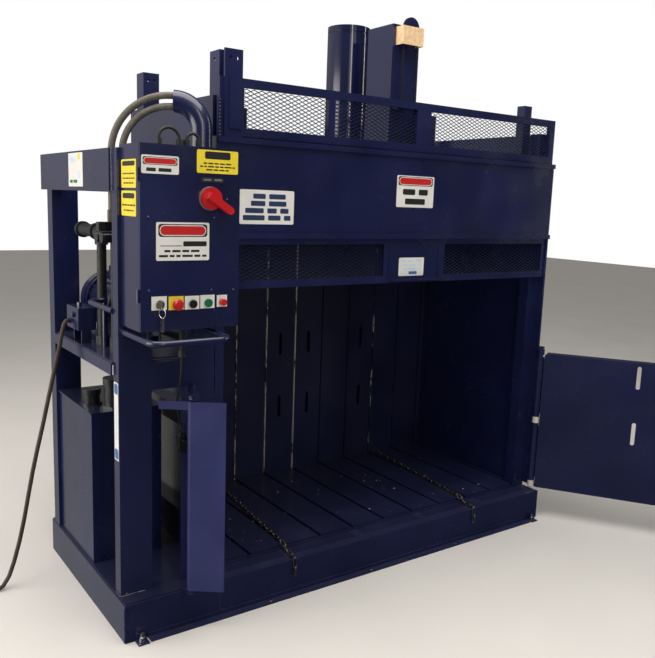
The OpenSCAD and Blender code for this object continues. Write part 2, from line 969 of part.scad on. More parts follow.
module chamber_door() {
  span = door_len - door_start;
  color(navy)
    at_hinge()
      rotate(-180 + door_open)
        difference() {
          union() {
            translate([door_start, -door_in, door_z])
              cube([span, sheet_t, door_h]);
            for (z = [door_z, door_z + door_h - channel_t])
              translate([door_start, -door_in + sheet_t, z])
                cube([span, door_t - sheet_t, channel_t]);
            for (x = [door_start, door_len - channel_t])
              translate([x, -door_in + sheet_t, door_z])
                cube([channel_t, door_t - sheet_t, door_h]);
            for (i = [0:back_count - 2])
              translate([door_tie_x + (i - 2 + 0.5) * back_pitch - door_rib_w / 2,
                     -door_in + sheet_t, door_z])
                linear_extrude(door_h)
                  translate([door_rib_w, 0])
                    rotate(90)
                      c_section(door_rib_w, door_t - sheet_t, channel_t);
            for (k = [0, 1]) {
              door_knuckle_gap(k, hinge_d, 0.5);
              intersection() {
                door_knuckle_gap(k, 3 * hinge_d, 20);
                translate([0, -3, door_z])
                  cube([door_start + 2, 6, door_h]);
              }
            }
          }
          for (k = tie_columns, z = door_tie_z)
            translate([door_tie_x + k * back_pitch, -door_in - 1, z])
              slot(tie_slot_l, tie_slot_w, sheet_t + 2);
          translate([door_start, -door_in - 1, door_z + door_h])
            rotate([0, 45, 0])
              translate([-door_cut / 2, 0, -door_cut])
                cube([door_cut, door_t + 2, 2 * door_cut]);
          translate([0, 0, door_z - 1])
            cylinder(d = hinge_pin_d + 2 * fit_clear, h = door_h + 2);
        }
}

module door_hinge() {
  color(steel)
    at_hinge() {
      translate([0, 0, door_z - 6])
        cylinder(d = hinge_pin_d, h = door_h + 34);
      translate([0, 0, door_z + door_h + 28])
        cylinder(d = hinge_pin_d + 12, h = 8);
      for (k = knuckles) {
        translate([0, 0, door_z + k[0]])
          difference() {
            cylinder(d = hinge_d, h = k[1]);
            translate([0, 0, -1])
              cylinder(d = hinge_pin_d - 1, h = k[1] + 2);
          }
        translate([leaf_x, 12, door_z + k[0]])
          cube([leaf_t, 12, k[1]]);
      }
      translate([leaf_x, 20, door_z])
        cube([leaf_t, wall_y - hinge_y - 20, door_h + 22]);
    }
}

// Latch
latch_z = deck_z + 10;
latch_h = door_h + 11;
latch_t = 8;
latch_pin = 20;
sleeve_d = 34;
module at_latch() {
  at_corner()
    translate([latch_x, latch_y, 0])
      children();
}

module latch_plate() {
  color("#2c3a86")
    at_latch()
      rotate(-latch_open)
        difference() {
          union() {
            translate([0, 0, latch_z])
              cylinder(d = sleeve_d, h = latch_h);
            translate([0, -sleeve_d / 2, latch_z])
              cube([latch_w, latch_t, latch_h]);
            translate([-latch_arm, -latch_t / 2, latch_z + latch_h - 34])
              cube([latch_arm, latch_t, 32]);
            translate([10, -sleeve_d / 2, latch_z + latch_h - 60])
              cube([latch_t, sleeve_d / 2 + 12, 58]);
          }
          translate([0, 0, latch_z - 1])
            cylinder(d = latch_pin + 2 * fit_clear, h = latch_h + 2);
        }
}

module latch_bracket() {
  color(navy)
    at_latch() {
      translate([0, 0, deck_z - 6])
        cylinder(d = latch_pin, h = latch_h + 32);
      translate([-22, -22, base_h])
        cube([44, 22 - latch_y + deck_t - slide_gap, 6]);
      translate([-22, -22, latch_z + latch_h + 4])
        linear_extrude(8)
          polygon([[0, 0], [44, 0], [44 + 50, front_y - latch_y + 22],
               [middle_post_x - latch_x + 22, front_y - latch_y + 22]]);
      translate([0, 0, latch_z + latch_h + 12])
        cylinder(d = latch_pin + 10, h = 10, $fn = 6);
      translate([middle_post_x - latch_x + 14, front_y - latch_y - 40, latch_z + latch_h + 12])
        cube([6, 40, 34]);
    }
}

// Control box
box_x = 23;
box_y = front_y - box_d;
box_wall = 2.5;
top_hole_x = [108, 186, 214, 262];
box_lid = 10;
module control_box() {
  color(navy)
    at_corner()
      translate([box_x, box_y + box_lid, box_z])
        difference() {
          cube([box_w, box_d - box_lid, box_h]);
          translate([box_wall, -1, box_wall])
            cube([box_w - 2 * box_wall, box_d - box_lid - box_wall + 1, box_h - 2 * box_wall]);
          for (x = [60, 105, 190])
            translate([x, 70, -1])
              cylinder(d = 20, h = 6);
          for (x = top_hole_x)
            translate([x, 90, box_h - 4])
              cylinder(d = 20, h = 6);
        }
}

hinge_r = 5;
controls = [[68, 95, 26], [131, 93, 24], [192, 92, 24], [252, 93, 24], [310, 93, 24]];
switch_x = 258;
switch_z = 463;
module box_door() {
  color(navy)
    at_corner()
      translate([box_x, box_y, box_z])
        difference() {
          union() {
            difference() {
              translate([0.5, 0, 0.5])
                cube([box_w - 1, box_lid - 0.5, box_h - 1]);
              translate([2.5, 2, 2.5])
                cube([box_w - 5, box_lid, box_h - 5]);
            }
            for (z = [0.16, 0.8])
              translate([-hinge_r, box_lid - 2, z * box_h])
                cylinder(r = hinge_r, h = 46);
            for (z = [0.16, 0.8])
              translate([-hinge_r, box_lid - 6, z * box_h])
                cube([hinge_r + 4, 4, 46]);
          }
          for (c = controls)
            translate([c[0], box_lid, c[1]])
              disc_y(c[2] + 0.6, box_lid + 2);
          translate([switch_x, box_lid, switch_z])
            disc_y(30.6, box_lid + 2);
        }
}

module control_gear() {
  color("#c8cbd0")
    at_corner()
      translate([box_x + 30, front_y - box_wall - 12, box_z + 60]) {
        cube([box_w - 60, 2, box_h - 120]);
        for (x = [20, box_w - 90])
          for (z = [20, box_h - 150])
            translate([x, 2, z])
              cube([10, 10, 10]);
        translate([20, -70, 330])
          cube([90, 70, 110]);
        translate([140, -62, 340])
          cube([80, 62, 90]);
        translate([20, -80, 190])
          cube([100, 80, 90]);
        for (i = [0:6])
          translate([150 + i * 14, -36, 190])
            cube([12, 36, 60]);
        translate([20, -30, 120])
          cube([230, 30, 30]);
        translate([20, -50, 30])
          cube([110, 50, 60]);
      }
}

plate_t = 1.5;
legend_rise = 4;
module legend(x, z, w, h, d) {
  difference() {
    translate([x - w / 2, 0, z - h / 2 + legend_rise])
      cube([w, plate_t, h]);
    translate([x, plate_t + 1, z])
      disc_y(d, plate_t + 2);
  }
}

module legend_plates() {
  color("#e9e9e6")
    at_corner()
      translate([box_x, box_y - plate_t, box_z]) {
        for (i = [0:3])
          legend(controls[i][0], controls[i][1], 56, 48, controls[i][2] + 0.6);
        legend(controls[4][0], controls[4][1], 41, 43, controls[4][2] + 0.6);
      }
}

module main_switch() {
  color("#8d9096")
    at_corner()
      translate([box_x + switch_x, box_y, box_z + switch_z]) {
        difference() {
          union() {
            disc_y(switch_d, 5);
            translate([0, 52, 0])
              disc_y(30, 52);
            translate([-28, box_lid + 8, -28])
              cube([56, 50, 56]);
          }
          translate([0, 4, 0])
            disc_y(16, 12);
        }
      }
}

switch_tilt = 33;
lever_l = 88;
lever_w = 26;
lever_t = 22;
module switch_handle() {
  color("#c4161c")
    at_corner()
      translate([box_x + switch_x, box_y - 5.3, box_z + switch_z]) {
        disc_y(switch_d - 6, 16);
        translate([0, 9, 0])
          disc_y(15.9, 10);
        translate([0, -16, 0])
          rotate([0, switch_tilt, 0])
            translate([0, -lever_t, -lever_w / 2])
              difference() {
                union() {
                  translate([-20, 0, 0])
                    cube([lever_l + 20 - lever_w / 2, lever_t, lever_w]);
                  translate([lever_l - lever_w / 2, lever_t, lever_w / 2])
                    disc_y(lever_w, lever_t);
                }
                translate([lever_l - 14, lever_t / 2, -1])
                  cylinder(d = 9, h = lever_w + 2);
              }
      }
}

module at_control(i) {
  at_corner()
    translate([box_x + controls[i][0], box_y - plate_t, box_z + controls[i][1]])
      children();
}

module key_switch() {
  color("#b9bcc2")
    at_control(0) {
      translate([0, 40, 0])
        disc_y(25.4, 40);
      translate([0, -0.3, 0])
        disc_y(32, 11);
      translate([-2, -32, -14])
        difference() {
          cube([4, 21.5, 28]);
          translate([-1, 6, 5])
            rotate([0, 90, 0])
              cylinder(d = 5, h = 6);
        }
      translate([0, -26, -28])
        rotate([0, 0, 20])
          rotate([90, 0, 90])
            rotate_extrude()
              translate([16, 0])
                circle(d = 2);
      translate([-3, -37, -92])
        cube([6, 22, 48]);
    }
}

module push_button(i, d, cap_d, cap_h, tint) {
  color(tint)
    at_control(i) {
      translate([0, 34, 0])
        disc_y(controls[i][2] - 0.4, 34 + button_travel + 1);
      translate([0, -button_travel - 1, 0])
        disc_y(cap_d, cap_h);
    }
}

module estop_button() {
  color("#c4161c")
    at_control(1) {
      translate([0, 34, 0])
        disc_y(controls[1][2] - 0.4, 34 + button_travel + 3);
      translate([0, -button_travel - 3, 0])
        rotate([90, 0, 0])
          rotate_extrude()
            polygon([[0, 0], [14, 0], [estop_d / 2, 8], [estop_d / 2, 13],
                 [estop_d / 2 - 3, 17], [estop_d / 2 - 8, 19], [0, 20]]);
    }
}

module black_button() {
  push_button(2, 24, 30, 7, black);
}

module green_button() {
  push_button(3, 24, 30, 7, "#0c7a3c");
}

module lamp_button() {
  push_button(4, 24, 25, 12, "#c4161c");
}

// Guard tubes
guard_reach = 103;
guard_r = 45;
guard_z = box_z - 26;
module bent_tube(points, r, d) {
  for (i = [0:len(points) - 2]) {
    a = points[i];
    b = points[i + 1];
    v = b - a;
    l = norm(v);
    s = i == 0 ? 0 : r;
    e = i == len(points) - 2 ? 0 : r;
    translate(a + v * s / l)
      rotate([0, acos(v[2] / l), atan2(v[1], v[0])])
        cylinder(d = d, h = l - s - e);
  }
}

module box_guard() {
  y1 = box_y - guard_reach;
  x1 = bay_post_x + 16;
  x2 = bay_w - 78;
  color(navy)
    at_corner()
      translate([0, 0, guard_z]) {
        bent_tube([[x1, front_y, 0], [x1, y1, 0], [x2, y1, 0], [x2, front_y, 0]], guard_r, guard_d);
        translate([x1 + guard_r, y1 + guard_r, 0])
          rotate(180)
            rotate_extrude(angle = 90)
              translate([guard_r, 0])
                circle(d = guard_d);
        translate([x2 - guard_r, y1 + guard_r, 0])
          rotate(270)
            rotate_extrude(angle = 90)
              translate([guard_r, 0])
                circle(d = guard_d);
        for (x = [x1, x2])
          translate([x - 19, front_y - 6, -24])
            cube([38, 6, 48]);
      }
}

motor_guard_z = shelf_z + 195;
motor_guard_y = 410;
module motor_guard() {
  color(navy)
    at_corner()
      translate([11, 0, motor_guard_z]) {
        translate([0, beam_y, 0])
          rotate([-90, 0, 0])
            cylinder(d = guard_d, h = motor_guard_y - beam_y - guard_r);
        translate([guard_r, motor_guard_y - guard_r, 0])
          rotate(90)
            rotate_extrude(angle = 90)
              translate([guard_r, 0])
                circle(d = guard_d);
        translate([guard_r, motor_guard_y, 0])
          rotate([0, 90, 0])
            cylinder(d = guard_d, h = 24);
        translate([guard_r + 24, motor_guard_y, shelf_z + shelf_t - motor_guard_z])
          cylinder(d = guard_d, h = motor_guard_z - shelf_z - shelf_t + guard_d / 2);
      }
}

// Power unit
motor_x = 225;
motor_y = 445;
motor_z = shelf_z + shelf_t + 150;
fin_count = 20;
module motor() {
  color(navy)
    at_corner()
      translate([motor_x, motor_y, motor_z]) {
        rotate([-90, 0, 0]) {
          cylinder(d = motor_d - 24, h = motor_l);
          for (i = [0:fin_count - 1])
            rotate(i * 360 / fin_count)
              translate([motor_d / 2 - 14, -1.5, 30])
                cube([14, 3, motor_l - 60]);
          cylinder(d = motor_d, h = 26);
          translate([0, 0, motor_l - 26])
            cylinder(d = motor_d, h = 26);
        }
        translate([0, motor_l, 0])
          rotate([-90, 0, 0])
            rotate_extrude()
              polygon([[0, 0], [motor_d / 2 + 4, 0], [motor_d / 2 + 4, 50],
                   [motor_d / 2 - 20, 68], [0, 68]]);
        for (s = [-1, 1])
          translate([s * 95 - 22, 40, shelf_z + shelf_t - motor_z])
            difference() {
              cube([44, motor_l - 80, 14]);
              for (y = [24, motor_l - 104])
                translate([22, y, -1])
                  cylinder(d = 13, h = 20);
            }
        for (s = [-1, 1])
          translate([s * 78 - 6, 50, shelf_z + shelf_t + 14 - motor_z])
            cube([12, motor_l - 100, 60]);
        translate([-45, 90, motor_d / 2 - 20])
          cube([90, 110, 60]);
      }
}

bell_l = 85;
pump_l = 110;
module pump() {
  color(black)
    at_corner()
      translate([motor_x, motor_y, motor_z]) {
        disc_y(150, bell_l);
        translate([-50, -bell_l - 18, -50])
          cube([100, 18, 100]);
        translate([0, -bell_l - 18, 0])
          disc_y(92, pump_l - 18);
        translate([-60, -bell_l - pump_l + 14, -26])
          cube([120, 50, 52]);
      }
}

valve_z = 1500;
module valve_block() {
  color(black)
    at_corner()
      translate([50, 205, valve_z]) {
        cube([110, 110, 74]);
        translate([-46, 18, 22])
          rotate([0, 90, 0])
            cylinder(d = 40, h = 46);
        translate([-46, 74, 22])
          rotate([0, 90, 0])
            cylinder(d = 40, h = 46);
        translate([-58, 4, 46])
          cube([58, 30, 34]);
        translate([110, 30, 10])
          cube([bay_w - 160, 40, 12]);
      }
}

jbox_y = 500;
jbox_h = 92;
jbox_leg = 56;
module junction_box() {
  color(navy)
    at_corner()
      translate([0, jbox_y, shelf_z + shelf_t + jbox_leg]) {
        cube([75, 150, jbox_h]);
        for (y = [20, 120])
          translate([20, y, -jbox_leg])
            cube([40, 8, jbox_leg]);
        for (g = [[60, 60], [110, 28]])
          translate([-8, g[0], g[1]])
            rotate([0, 90, 0])
              cylinder(d = 24, h = 8, $fn = 6);
        translate([30, 75, jbox_h])
          cylinder(d = 22, h = 16, $fn = 6);
      }
}

tank_x = 12;
tank_y = rear_post_y - tank_d - 5;
tank_wall = 4;
module oil_tank() {
  color(navy)
    at_corner()
      translate([tank_x, tank_y, deck_z])
        difference() {
          union() {
            cube([tank_w, tank_d, tank_top - deck_z - 5]);
            translate([-5, -5, tank_top - deck_z - 5])
              cube([tank_w + 10, tank_d + 10, 5]);
          }
          translate([tank_wall, tank_wall, tank_wall])
            cube([tank_w - 2 * tank_wall, tank_d - 2 * tank_wall,
                tank_top - deck_z - 5 - 2 * tank_wall]);
        }
}

module tank_fittings() {
  color(black)
    at_corner()
      translate([tank_x, tank_y, tank_top]) {
        translate([52, 150, 0])
          cylinder(d = 84, h = 10);
        translate([52, 150, 10])
          cylinder(d = 66, h = 34);
        translate([52, 150, 44])
          cylinder(d = 74, h = 22);
        translate([110, 40, 0])
          cylinder(d = 96, h = 14, $fn = 6);
        translate([110, 40, 14])
          cylinder(d = 80, h = 90);
        translate([110, 40, 104])
          cylinder(d = 92, h = 26);
        translate([200, 60, 0])
          cylinder(d = 40, h = 30, $fn = 6);
      }
}

// Hoses and conduits
module arc_pipe(r, d, a) {
  rotate_extrude(angle = a)
    translate([r, 0])
      circle(d = d);
}

suction_x = tank_x + 200;
suction_y = tank_y + 60;
return_x = 85;
return_y = 455;
return_z = 1531;
return_d = 38;
return_r = 50;
module oil_hoses() {
  color(black)
    at_corner() {
      for (x = [75, 125]) {
        translate([x, 290, shelf_z + shelf_t + 60])
          cylinder(d = 24, h = valve_z - shelf_z - shelf_t - 60);
        translate([x, 290, shelf_z + shelf_t])
          cylinder(d = 36, h = 60, $fn = 6);
      }
      translate([suction_x, suction_y, tank_top + 30])
        cylinder(d = 36, h = shelf_z - tank_top - 30);
      translate([return_x, return_y, 0]) {
        translate([0, 0, shelf_z + shelf_t])
          cylinder(d = return_d, h = return_z - return_r - shelf_z - shelf_t);
        translate([0, 0, shelf_z + shelf_t])
          cylinder(d = 54, h = 40, $fn = 6);
        translate([0, return_r, return_z - return_r])
          rotate([90, 0, -90])
            rotate_extrude(angle = 90)
              translate([return_r, 0])
                circle(d = return_d + 14);
        translate([0, return_r + 180, return_z])
          disc_y(return_d + 14, 180);
        for (y = [return_r + 10, return_r + 190])
          translate([0, y, return_z])
            disc_y(return_d + 30, 20);
        translate([0, return_r + 80, return_z - 8])
          cube([bay_w - return_x, 40, 8]);
      }
    }
}

hose_foot_x = bay_w - 54;
hose_foot_y = front_y + 27;
hose_turn = 148;
hose_far = 333;
hose_space = 40;
hose_mid_z = 2030;
hose_arc = 215;
elbow_r = 100;
elbow_wall = 5;
module hose_plane() {
  at_corner()
    translate([hose_foot_x, hose_foot_y, 0])
      rotate(hose_turn)
        children();
}

module upright_arc(r, d, d_in) {
  rotate([90, 0, 0])
    rotate_extrude(angle = 90)
      translate([r, 0])
        difference() {
          circle(d = d);
          circle(d = d_in);
        }
}

module pressure_hoses() {
  color("#5b5546")
    hose_plane()
      for (k = [0, 1]) {
        r = hose_arc - hose_space * k;
        top = hose_mid_z + hose_space * (0.5 - k);
        x = hose_far - hose_space * k;
        translate([x, 0, valve_z + 74])
          cylinder(d = hose_d + 8, h = 50, $fn = 6);
        translate([x, 0, valve_z + 124])
          cylinder(d = hose_d, h = top - r - valve_z - 124);
        translate([x - r, 0, top - r])
          rotate([90, 0, 0])
            rotate_extrude(angle = 90)
              translate([r, 0])
                circle(d = hose_d);
        translate([elbow_r - 20, 0, top])
          rotate([0, 90, 0])
            cylinder(d = hose_d, h = x - r - elbow_r + 20);
      }
}

socket_d = 52;
module pipe_ring(d) {
  difference() {
    circle(d = d);
    circle(d = d - 2 * elbow_wall);
  }
}

module hose_elbow() {
  color(navy)
    hose_plane() {
      translate([elbow_r, 0, hose_mid_z - elbow_r])
        mirror([1, 0, 0])
          upright_arc(elbow_r, elbow_d, elbow_d - 2 * elbow_wall);
      translate([0, 0, box_z + box_h + 1])
        linear_extrude(hose_mid_z - elbow_r - box_z - box_h - 1)
          pipe_ring(elbow_d);
      translate([0, 0, bay_top + 8])
        linear_extrude(box_z + box_h + 1 - bay_top - 8)
          pipe_ring(socket_d);
      translate([0, 0, box_z + box_h + 1])
        linear_extrude(elbow_wall)
          difference() {
            circle(d = elbow_d);
            circle(d = socket_d - 2 * elbow_wall);
          }
      translate([0, 0, bay_top])
        rotate(-hose_turn)
          translate([-50, -27, 0])
            cube([100, 54, 8]);
    }
}

module half_loop(x1, x2, y, z, d, up) {
  r = (x2 - x1) / 2;
  translate([x1 + r, y, z])
    rotate([90, 0, 0])
      rotate(up > 0 ? 0 : 180)
        arc_pipe(r, d, 180);
}

module box_conduits() {
  top = box_z + box_h;
  y = box_y + box_lid + 90;
  ylow = box_y + box_lid + 70;
  color("#3a3d44")
    at_corner() {
      for (i = [0, 2])
        half_loop(box_x + top_hole_x[i], box_x + top_hole_x[i + 1], y, top + 26, 12, 1);
      for (x = top_hole_x)
        translate([box_x + x, y, top])
          cylinder(d = 26, h = 26, $fn = 6);
      half_loop(box_x + 60, box_x + 105, ylow, box_z - 50, 9, -1);
      for (x = [60, 105]) {
        translate([box_x + x, ylow, box_z - 50])
          cylinder(d = 9, h = 50);
        translate([box_x + x, ylow, box_z - 10])
          cylinder(d = 26, h = 10, $fn = 6);
      }
      translate([box_x + 190, ylow, box_z - 24])
        cylinder(d = 26, h = 24, $fn = 6);
      translate([box_x + 190, ylow, box_z - 92])
        cylinder(d = 18, h = 68);
      translate([box_x + 190, ylow, box_z - 116])
        cylinder(d = 26, h = 24, $fn = 6);
    }
}

interlock_z = 690;
module interlock_switch() {
  color(black)
    at_corner()
      translate([middle_post_x - 26, front_y + 8, interlock_z]) {
        cube([26, 32, 66]);
        translate([13, 0, 50])
          disc_y(16, 18);
        translate([13, 16, 66])
          cylinder(d = 14, h = 12);
      }
}

// Sweep of a round tube along hand-set points
function unit(v) = v / norm(v);
function tangent(p, i) = unit(p[min(i + 1, len(p) - 1)] - p[max(i - 1, 0)]);
function side(t) = unit(cross(t, abs(t[1]) > 0.9 ? [1, 0, 0] : [0, 1, 0]));
module swept_tube(p, d, sides) {
  n = len(p);
  pts = [for (i = [0:n - 1], k = [0:sides - 1])
    let (t = tangent(p, i), u = side(t), v = cross(t, u), a = 360 * k / sides)
      p[i] + d / 2 * (cos(a) * u + sin(a) * v)];
  faces = concat(
    [[for (k = [0:sides - 1]) k]],
    [for (i = [0:n - 2], k = [0:sides - 1])
      [i * sides + k, (i + 1) * sides + k, (i + 1) * sides + (k + 1) % sides, i * sides + (k + 1) % sides]],
    [[for (k = [sides - 1:-1:0]) (n - 1) * sides + k]]);
  polyhedron(points = pts, faces = faces, convexity = 4);
}

cable_route = [[213, -32, 1100], [213, -31, 1080], [214, -26, 1040], [216, -12, 1000], [220, 8, 966],
         [226, 32, 936], [234, 56, 906], [244, 74, 874], [254, 86, 842], [264, 91, 812], [269, 92, 792],
         [269, 92, 780]];
module interlock_cable() {
  color(black)
    at_corner()
      swept_tube(cable_route, 8, 8);
}

// Ejector chains: stadium links, every second one turned a quarter
module link(turn) {
  rotate([turn, 0, 0])
    for (s = [-1, 1]) {
      translate([0, s * (chain_wire * 1.25), 0])
        translate([-chain_pitch / 2 + chain_wire, 0, 0])
          rotate([0, 90, 0])
            cylinder(d = chain_wire, h = chain_pitch - 2 * chain_wire, $fn = 16);
      translate([s * (chain_pitch / 2 - chain_wire), 0, 0])
        rotate(s > 0 ? -90 : 90)
          rotate_extrude(angle = 180, $fn = 24)
            translate([chain_wire * 1.25, 0])
              circle(d = chain_wire, $fn = 16);
    }
}

chain_front = [757, 1847];
chain_lean = 5.8;
chain_step = chain_pitch - chain_wire / 2 - 0.5;
link_rise = 1.25 * chain_wire * sin(45) + chain_wire / 2 + 0.3;
chain_start = 9 - chain_step / 2;
chain_path = [[chain_start, base_h + link_rise], [door_y + 4, base_h + link_rise],
        [post_y + 10, floor_z + link_rise], [base_d - 12, floor_z + link_rise]];
chain_hang = [[-11.5, base_h - 52, 90, 90], [-8, base_h - 13, 85, 0]];
function path_len(p, i = 0) = i > len(p) - 2 ? 0 : norm(p[i + 1] - p[i]) + path_len(p, i + 1);
function path_leg(p, s, i = 0) =
  i == len(p) - 2 || s <= norm(p[i + 1] - p[i]) ? [i, s] : path_leg(p, s - norm(p[i + 1] - p[i]), i + 1);
module ejector_chain() {
  count = floor(path_len(chain_path) / chain_step);
  for (i = [0:count - 1]) {
    leg = path_leg(chain_path, (i + 0.5) * chain_step);
    start = chain_path[leg[0]];
    run = unit(chain_path[leg[0] + 1] - start);
    at = start + run * leg[1];
    translate([0, at[0], at[1]])
      rotate([atan2(run[1], run[0]), 0, 0])
        rotate(90)
          link(45 + 90 * (i % 2));
  }
  for (h = chain_hang)
    translate([0, h[0], h[1]])
      rotate([h[2], 0, 0])
        rotate(90)
          link(h[3]);
}

module ejector_chains() {
  color("#4a4640")
    at_corner()
      for (x = chain_front)
        translate([x, 0, 0])
          rotate(-chain_lean)
            ejector_chain();
}

cord_route = [[-8, 610, 1155], [-15, 610, 1155], [-24, 612, 1142], [-33, 615, 1105], [-44, 620, 1040],
        [-58, 628, 970], [-74, 636, 890], [-92, 644, 800], [-112, 652, 700], [-134, 660, 600],
        [-154, 668, 500], [-172, 674, 400], [-190, 678, 300], [-212, 680, 200], [-238, 678, 110],
        [-262, 672, 50], [-290, 662, 16], [-312, 654, 10]];
module power_cord() {
  color("#4b3a2c")
    at_corner()
      swept_tube(cord_route, cord_d, 10);
}

base_frame();
toe_angle();
anchor_bolts();
bay_deck();
chamber_floor();
back_wall();
left_wall();
right_wall();
front_posts();
bay_front_post();
bay_middle_post();
bay_rear_post();
top_beams();
motor_shelf();
front_panel();
rear_panel();
gate_guides();
guide_posts();
press_beams();
cylinder_barrel();
piston_rod();
platen();
gate_mast();
mast_chains();
chain_cover();
chain_sheave();
counterweight();
feed_gate();
gate_mesh();
chamber_door();
door_hinge();
latch_plate();
latch_bracket();
control_box();
box_door();
control_gear();
legend_plates();
main_switch();
switch_handle();
key_switch();
estop_button();
black_button();
green_button();
lamp_button();
box_guard();
motor_guard();
motor();
pump();
valve_block();
junction_box();
oil_tank();
tank_fittings();
oil_hoses();
pressure_hoses();
hose_elbow();
box_conduits();
interlock_switch();
interlock_cable();
ejector_chains();
power_cord();
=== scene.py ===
import math
import random

import bmesh
import bpy
from mathutils import Matrix, Vector


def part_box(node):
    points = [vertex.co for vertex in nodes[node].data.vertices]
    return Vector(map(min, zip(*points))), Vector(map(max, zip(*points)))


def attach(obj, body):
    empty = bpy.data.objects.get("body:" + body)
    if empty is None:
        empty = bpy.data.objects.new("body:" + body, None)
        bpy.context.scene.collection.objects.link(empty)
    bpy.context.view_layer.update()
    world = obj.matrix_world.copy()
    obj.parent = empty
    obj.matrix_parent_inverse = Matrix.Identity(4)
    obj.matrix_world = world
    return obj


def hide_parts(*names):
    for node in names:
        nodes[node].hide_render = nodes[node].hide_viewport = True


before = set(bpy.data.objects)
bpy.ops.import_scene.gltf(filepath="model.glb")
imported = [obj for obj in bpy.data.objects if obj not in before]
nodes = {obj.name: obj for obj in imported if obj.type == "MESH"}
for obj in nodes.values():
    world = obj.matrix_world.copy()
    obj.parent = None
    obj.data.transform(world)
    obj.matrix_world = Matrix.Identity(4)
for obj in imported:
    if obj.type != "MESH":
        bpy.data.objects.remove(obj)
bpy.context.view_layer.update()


# The base's front left corner is the zero point of all places below
base = {"width": 2.35, "depth": 0.95}


def place(x, y, z):
    return Vector((x - base["width"] / 2, y - base["depth"] / 2, z))


# The same from a point in millimetres
def placeMm(point):
    return place(*(v / 1000 for v in point))


# Camera at the photograph's viewpoint
camera = {
    "spot": (-0.9548, -2.5935, 1.683),
    "yaw": 35.42,
    "pitch": 9.44,
    "roll": 2.034,
    "lens": 42.11,
    "sensor": 36.0,
    "reach": 100,
}


def makeCamera(values):
    yaw, pitch, roll = (math.radians(values[key]) for key in ("yaw", "pitch", "roll"))
    ahead = Vector((math.sin(yaw) * math.cos(pitch), math.cos(yaw) * math.cos(pitch), -math.sin(pitch)))
    right = Vector((math.cos(yaw), -math.sin(yaw), 0))
    up = right.cross(ahead)
    right, up = (right * math.cos(roll) + up * math.sin(roll),
                 up * math.cos(roll) - right * math.sin(roll))
    data = bpy.data.cameras.new("viewCamera")
    data.sensor_fit = "HORIZONTAL"
    data.sensor_width = values["sensor"]
    data.lens = values["lens"]
    data.clip_end = values["reach"]
    obj = bpy.data.objects.new("viewCamera", data)
    bpy.context.scene.collection.objects.link(obj)
    turn = Matrix((right, up, -ahead)).transposed()
    obj.matrix_world = Matrix.Translation(place(*values["spot"])) @ turn.to_4x4()
    bpy.context.scene.camera = obj


makeCamera(camera)
print("stage: camera")


# Node helpers for materials
def newMaterial(name):
    mat = bpy.data.materials.new(name)
    mat.use_nodes = True
    tree = mat.node_tree
    shader = tree.nodes["Principled BSDF"]
    coord = tree.nodes.new("ShaderNodeTexCoord")
    return mat, tree, shader, coord.outputs["Object"]


def noise(tree, vector, scale, detail=4.0, rough=0.5, stretch=None):
    if stretch:
        mapping = tree.nodes.new("ShaderNodeMapping")
        mapping.inputs["Scale"].default_value = stretch
        tree.links.new(vector, mapping.inputs["Vector"])
        vector = mapping.outputs["Vector"]
    node = tree.nodes.new("ShaderNodeTexNoise")
    node.inputs["Scale"].default_value = scale
    node.inputs["Detail"].default_value = detail
    node.inputs["Roughness"].default_value = rough
    tree.links.new(vector, node.inputs["Vector"])
    return node.outputs["Fac"]


def ramp(tree, factor, stops):
    node = tree.nodes.new("ShaderNodeValToRGB")
    bar = node.color_ramp
    while len(bar.elements) < len(stops):
        bar.elements.new(0.5)
    for element, (position, color) in zip(bar.elements, stops):
        element.position = position
        element.color = (*color, 1)
    tree.links.new(factor, node.inputs["Fac"])
    return node.outputs["Color"]


# A mask that goes from none to full between two values
def maskRamp(tree, factor, low, high):
    return ramp(tree, factor, [(low, (0, 0, 0)), (high, (1, 1, 1))])


# A roughness that wanders between two values
def roughRamp(tree, factor, low, high):
    (start, least), (end, most) = low, high
    return ramp(tree, factor, [(start, (least,) * 3), (end, (most,) * 3)])


def mixColor(tree, factor, first, second):
    node = tree.nodes.new("ShaderNodeMix")
    node.data_type = "RGBA"
    for socket, value in ((0, factor), (6, first), (7, second)):
        if isinstance(value, tuple):
            node.inputs[socket].default_value = (*value, 1)
        else:
            tree.links.new(value, node.inputs[socket])
    return node.outputs[2]


def mathNode(tree, operation, first, second=None):
    node = tree.nodes.new("ShaderNodeMath")
    node.operation = operation
    for socket, value in ((0, first), (1, second)):
        if value is None:
            continue
        if isinstance(value, (int, float)):
            node.inputs[socket].default_value = value
        else:
            tree.links.new(value, node.inputs[socket])
    return node.outputs[0]


def bump(tree, shader, height, strength, distance):
    node = tree.nodes.new("ShaderNodeBump")
    node.inputs["Strength"].default_value = strength
    node.inputs["Distance"].default_value = distance
    tree.links.new(height, node.inputs["Height"])
    tree.links.new(node.outputs["Normal"], shader.inputs["Normal"])


def scaled(color, factor):
    return tuple(min(1.0, channel * factor) for channel in color)


def axesOf(tree, vector):
    parts = tree.nodes.new("ShaderNodeSeparateXYZ")
    tree.links.new(vector, parts.inputs[0])
    return parts.outputs


def upFacing(tree):
    geometry = tree.nodes.new("ShaderNodeNewGeometry")
    return mathNode(tree, "MAXIMUM", axesOf(tree, geometry.outputs["True Normal"])["Z"], 0.0)


# One where the place lies inside a box given in metres from the base's corner
def boxMask(tree, vector, low, high):
    parts = axesOf(tree, vector)
    inside = None
    for axis, start, end in zip("XYZ", place(*low), place(*high)):
        above = mathNode(tree, "GREATER_THAN", parts[axis], start)
        below = mathNode(tree, "LESS_THAN", parts[axis], end)
        both = mathNode(tree, "MULTIPLY", above, below)
        inside = both if inside is None else mathNode(tree, "MULTIPLY", inside, both)
    return inside


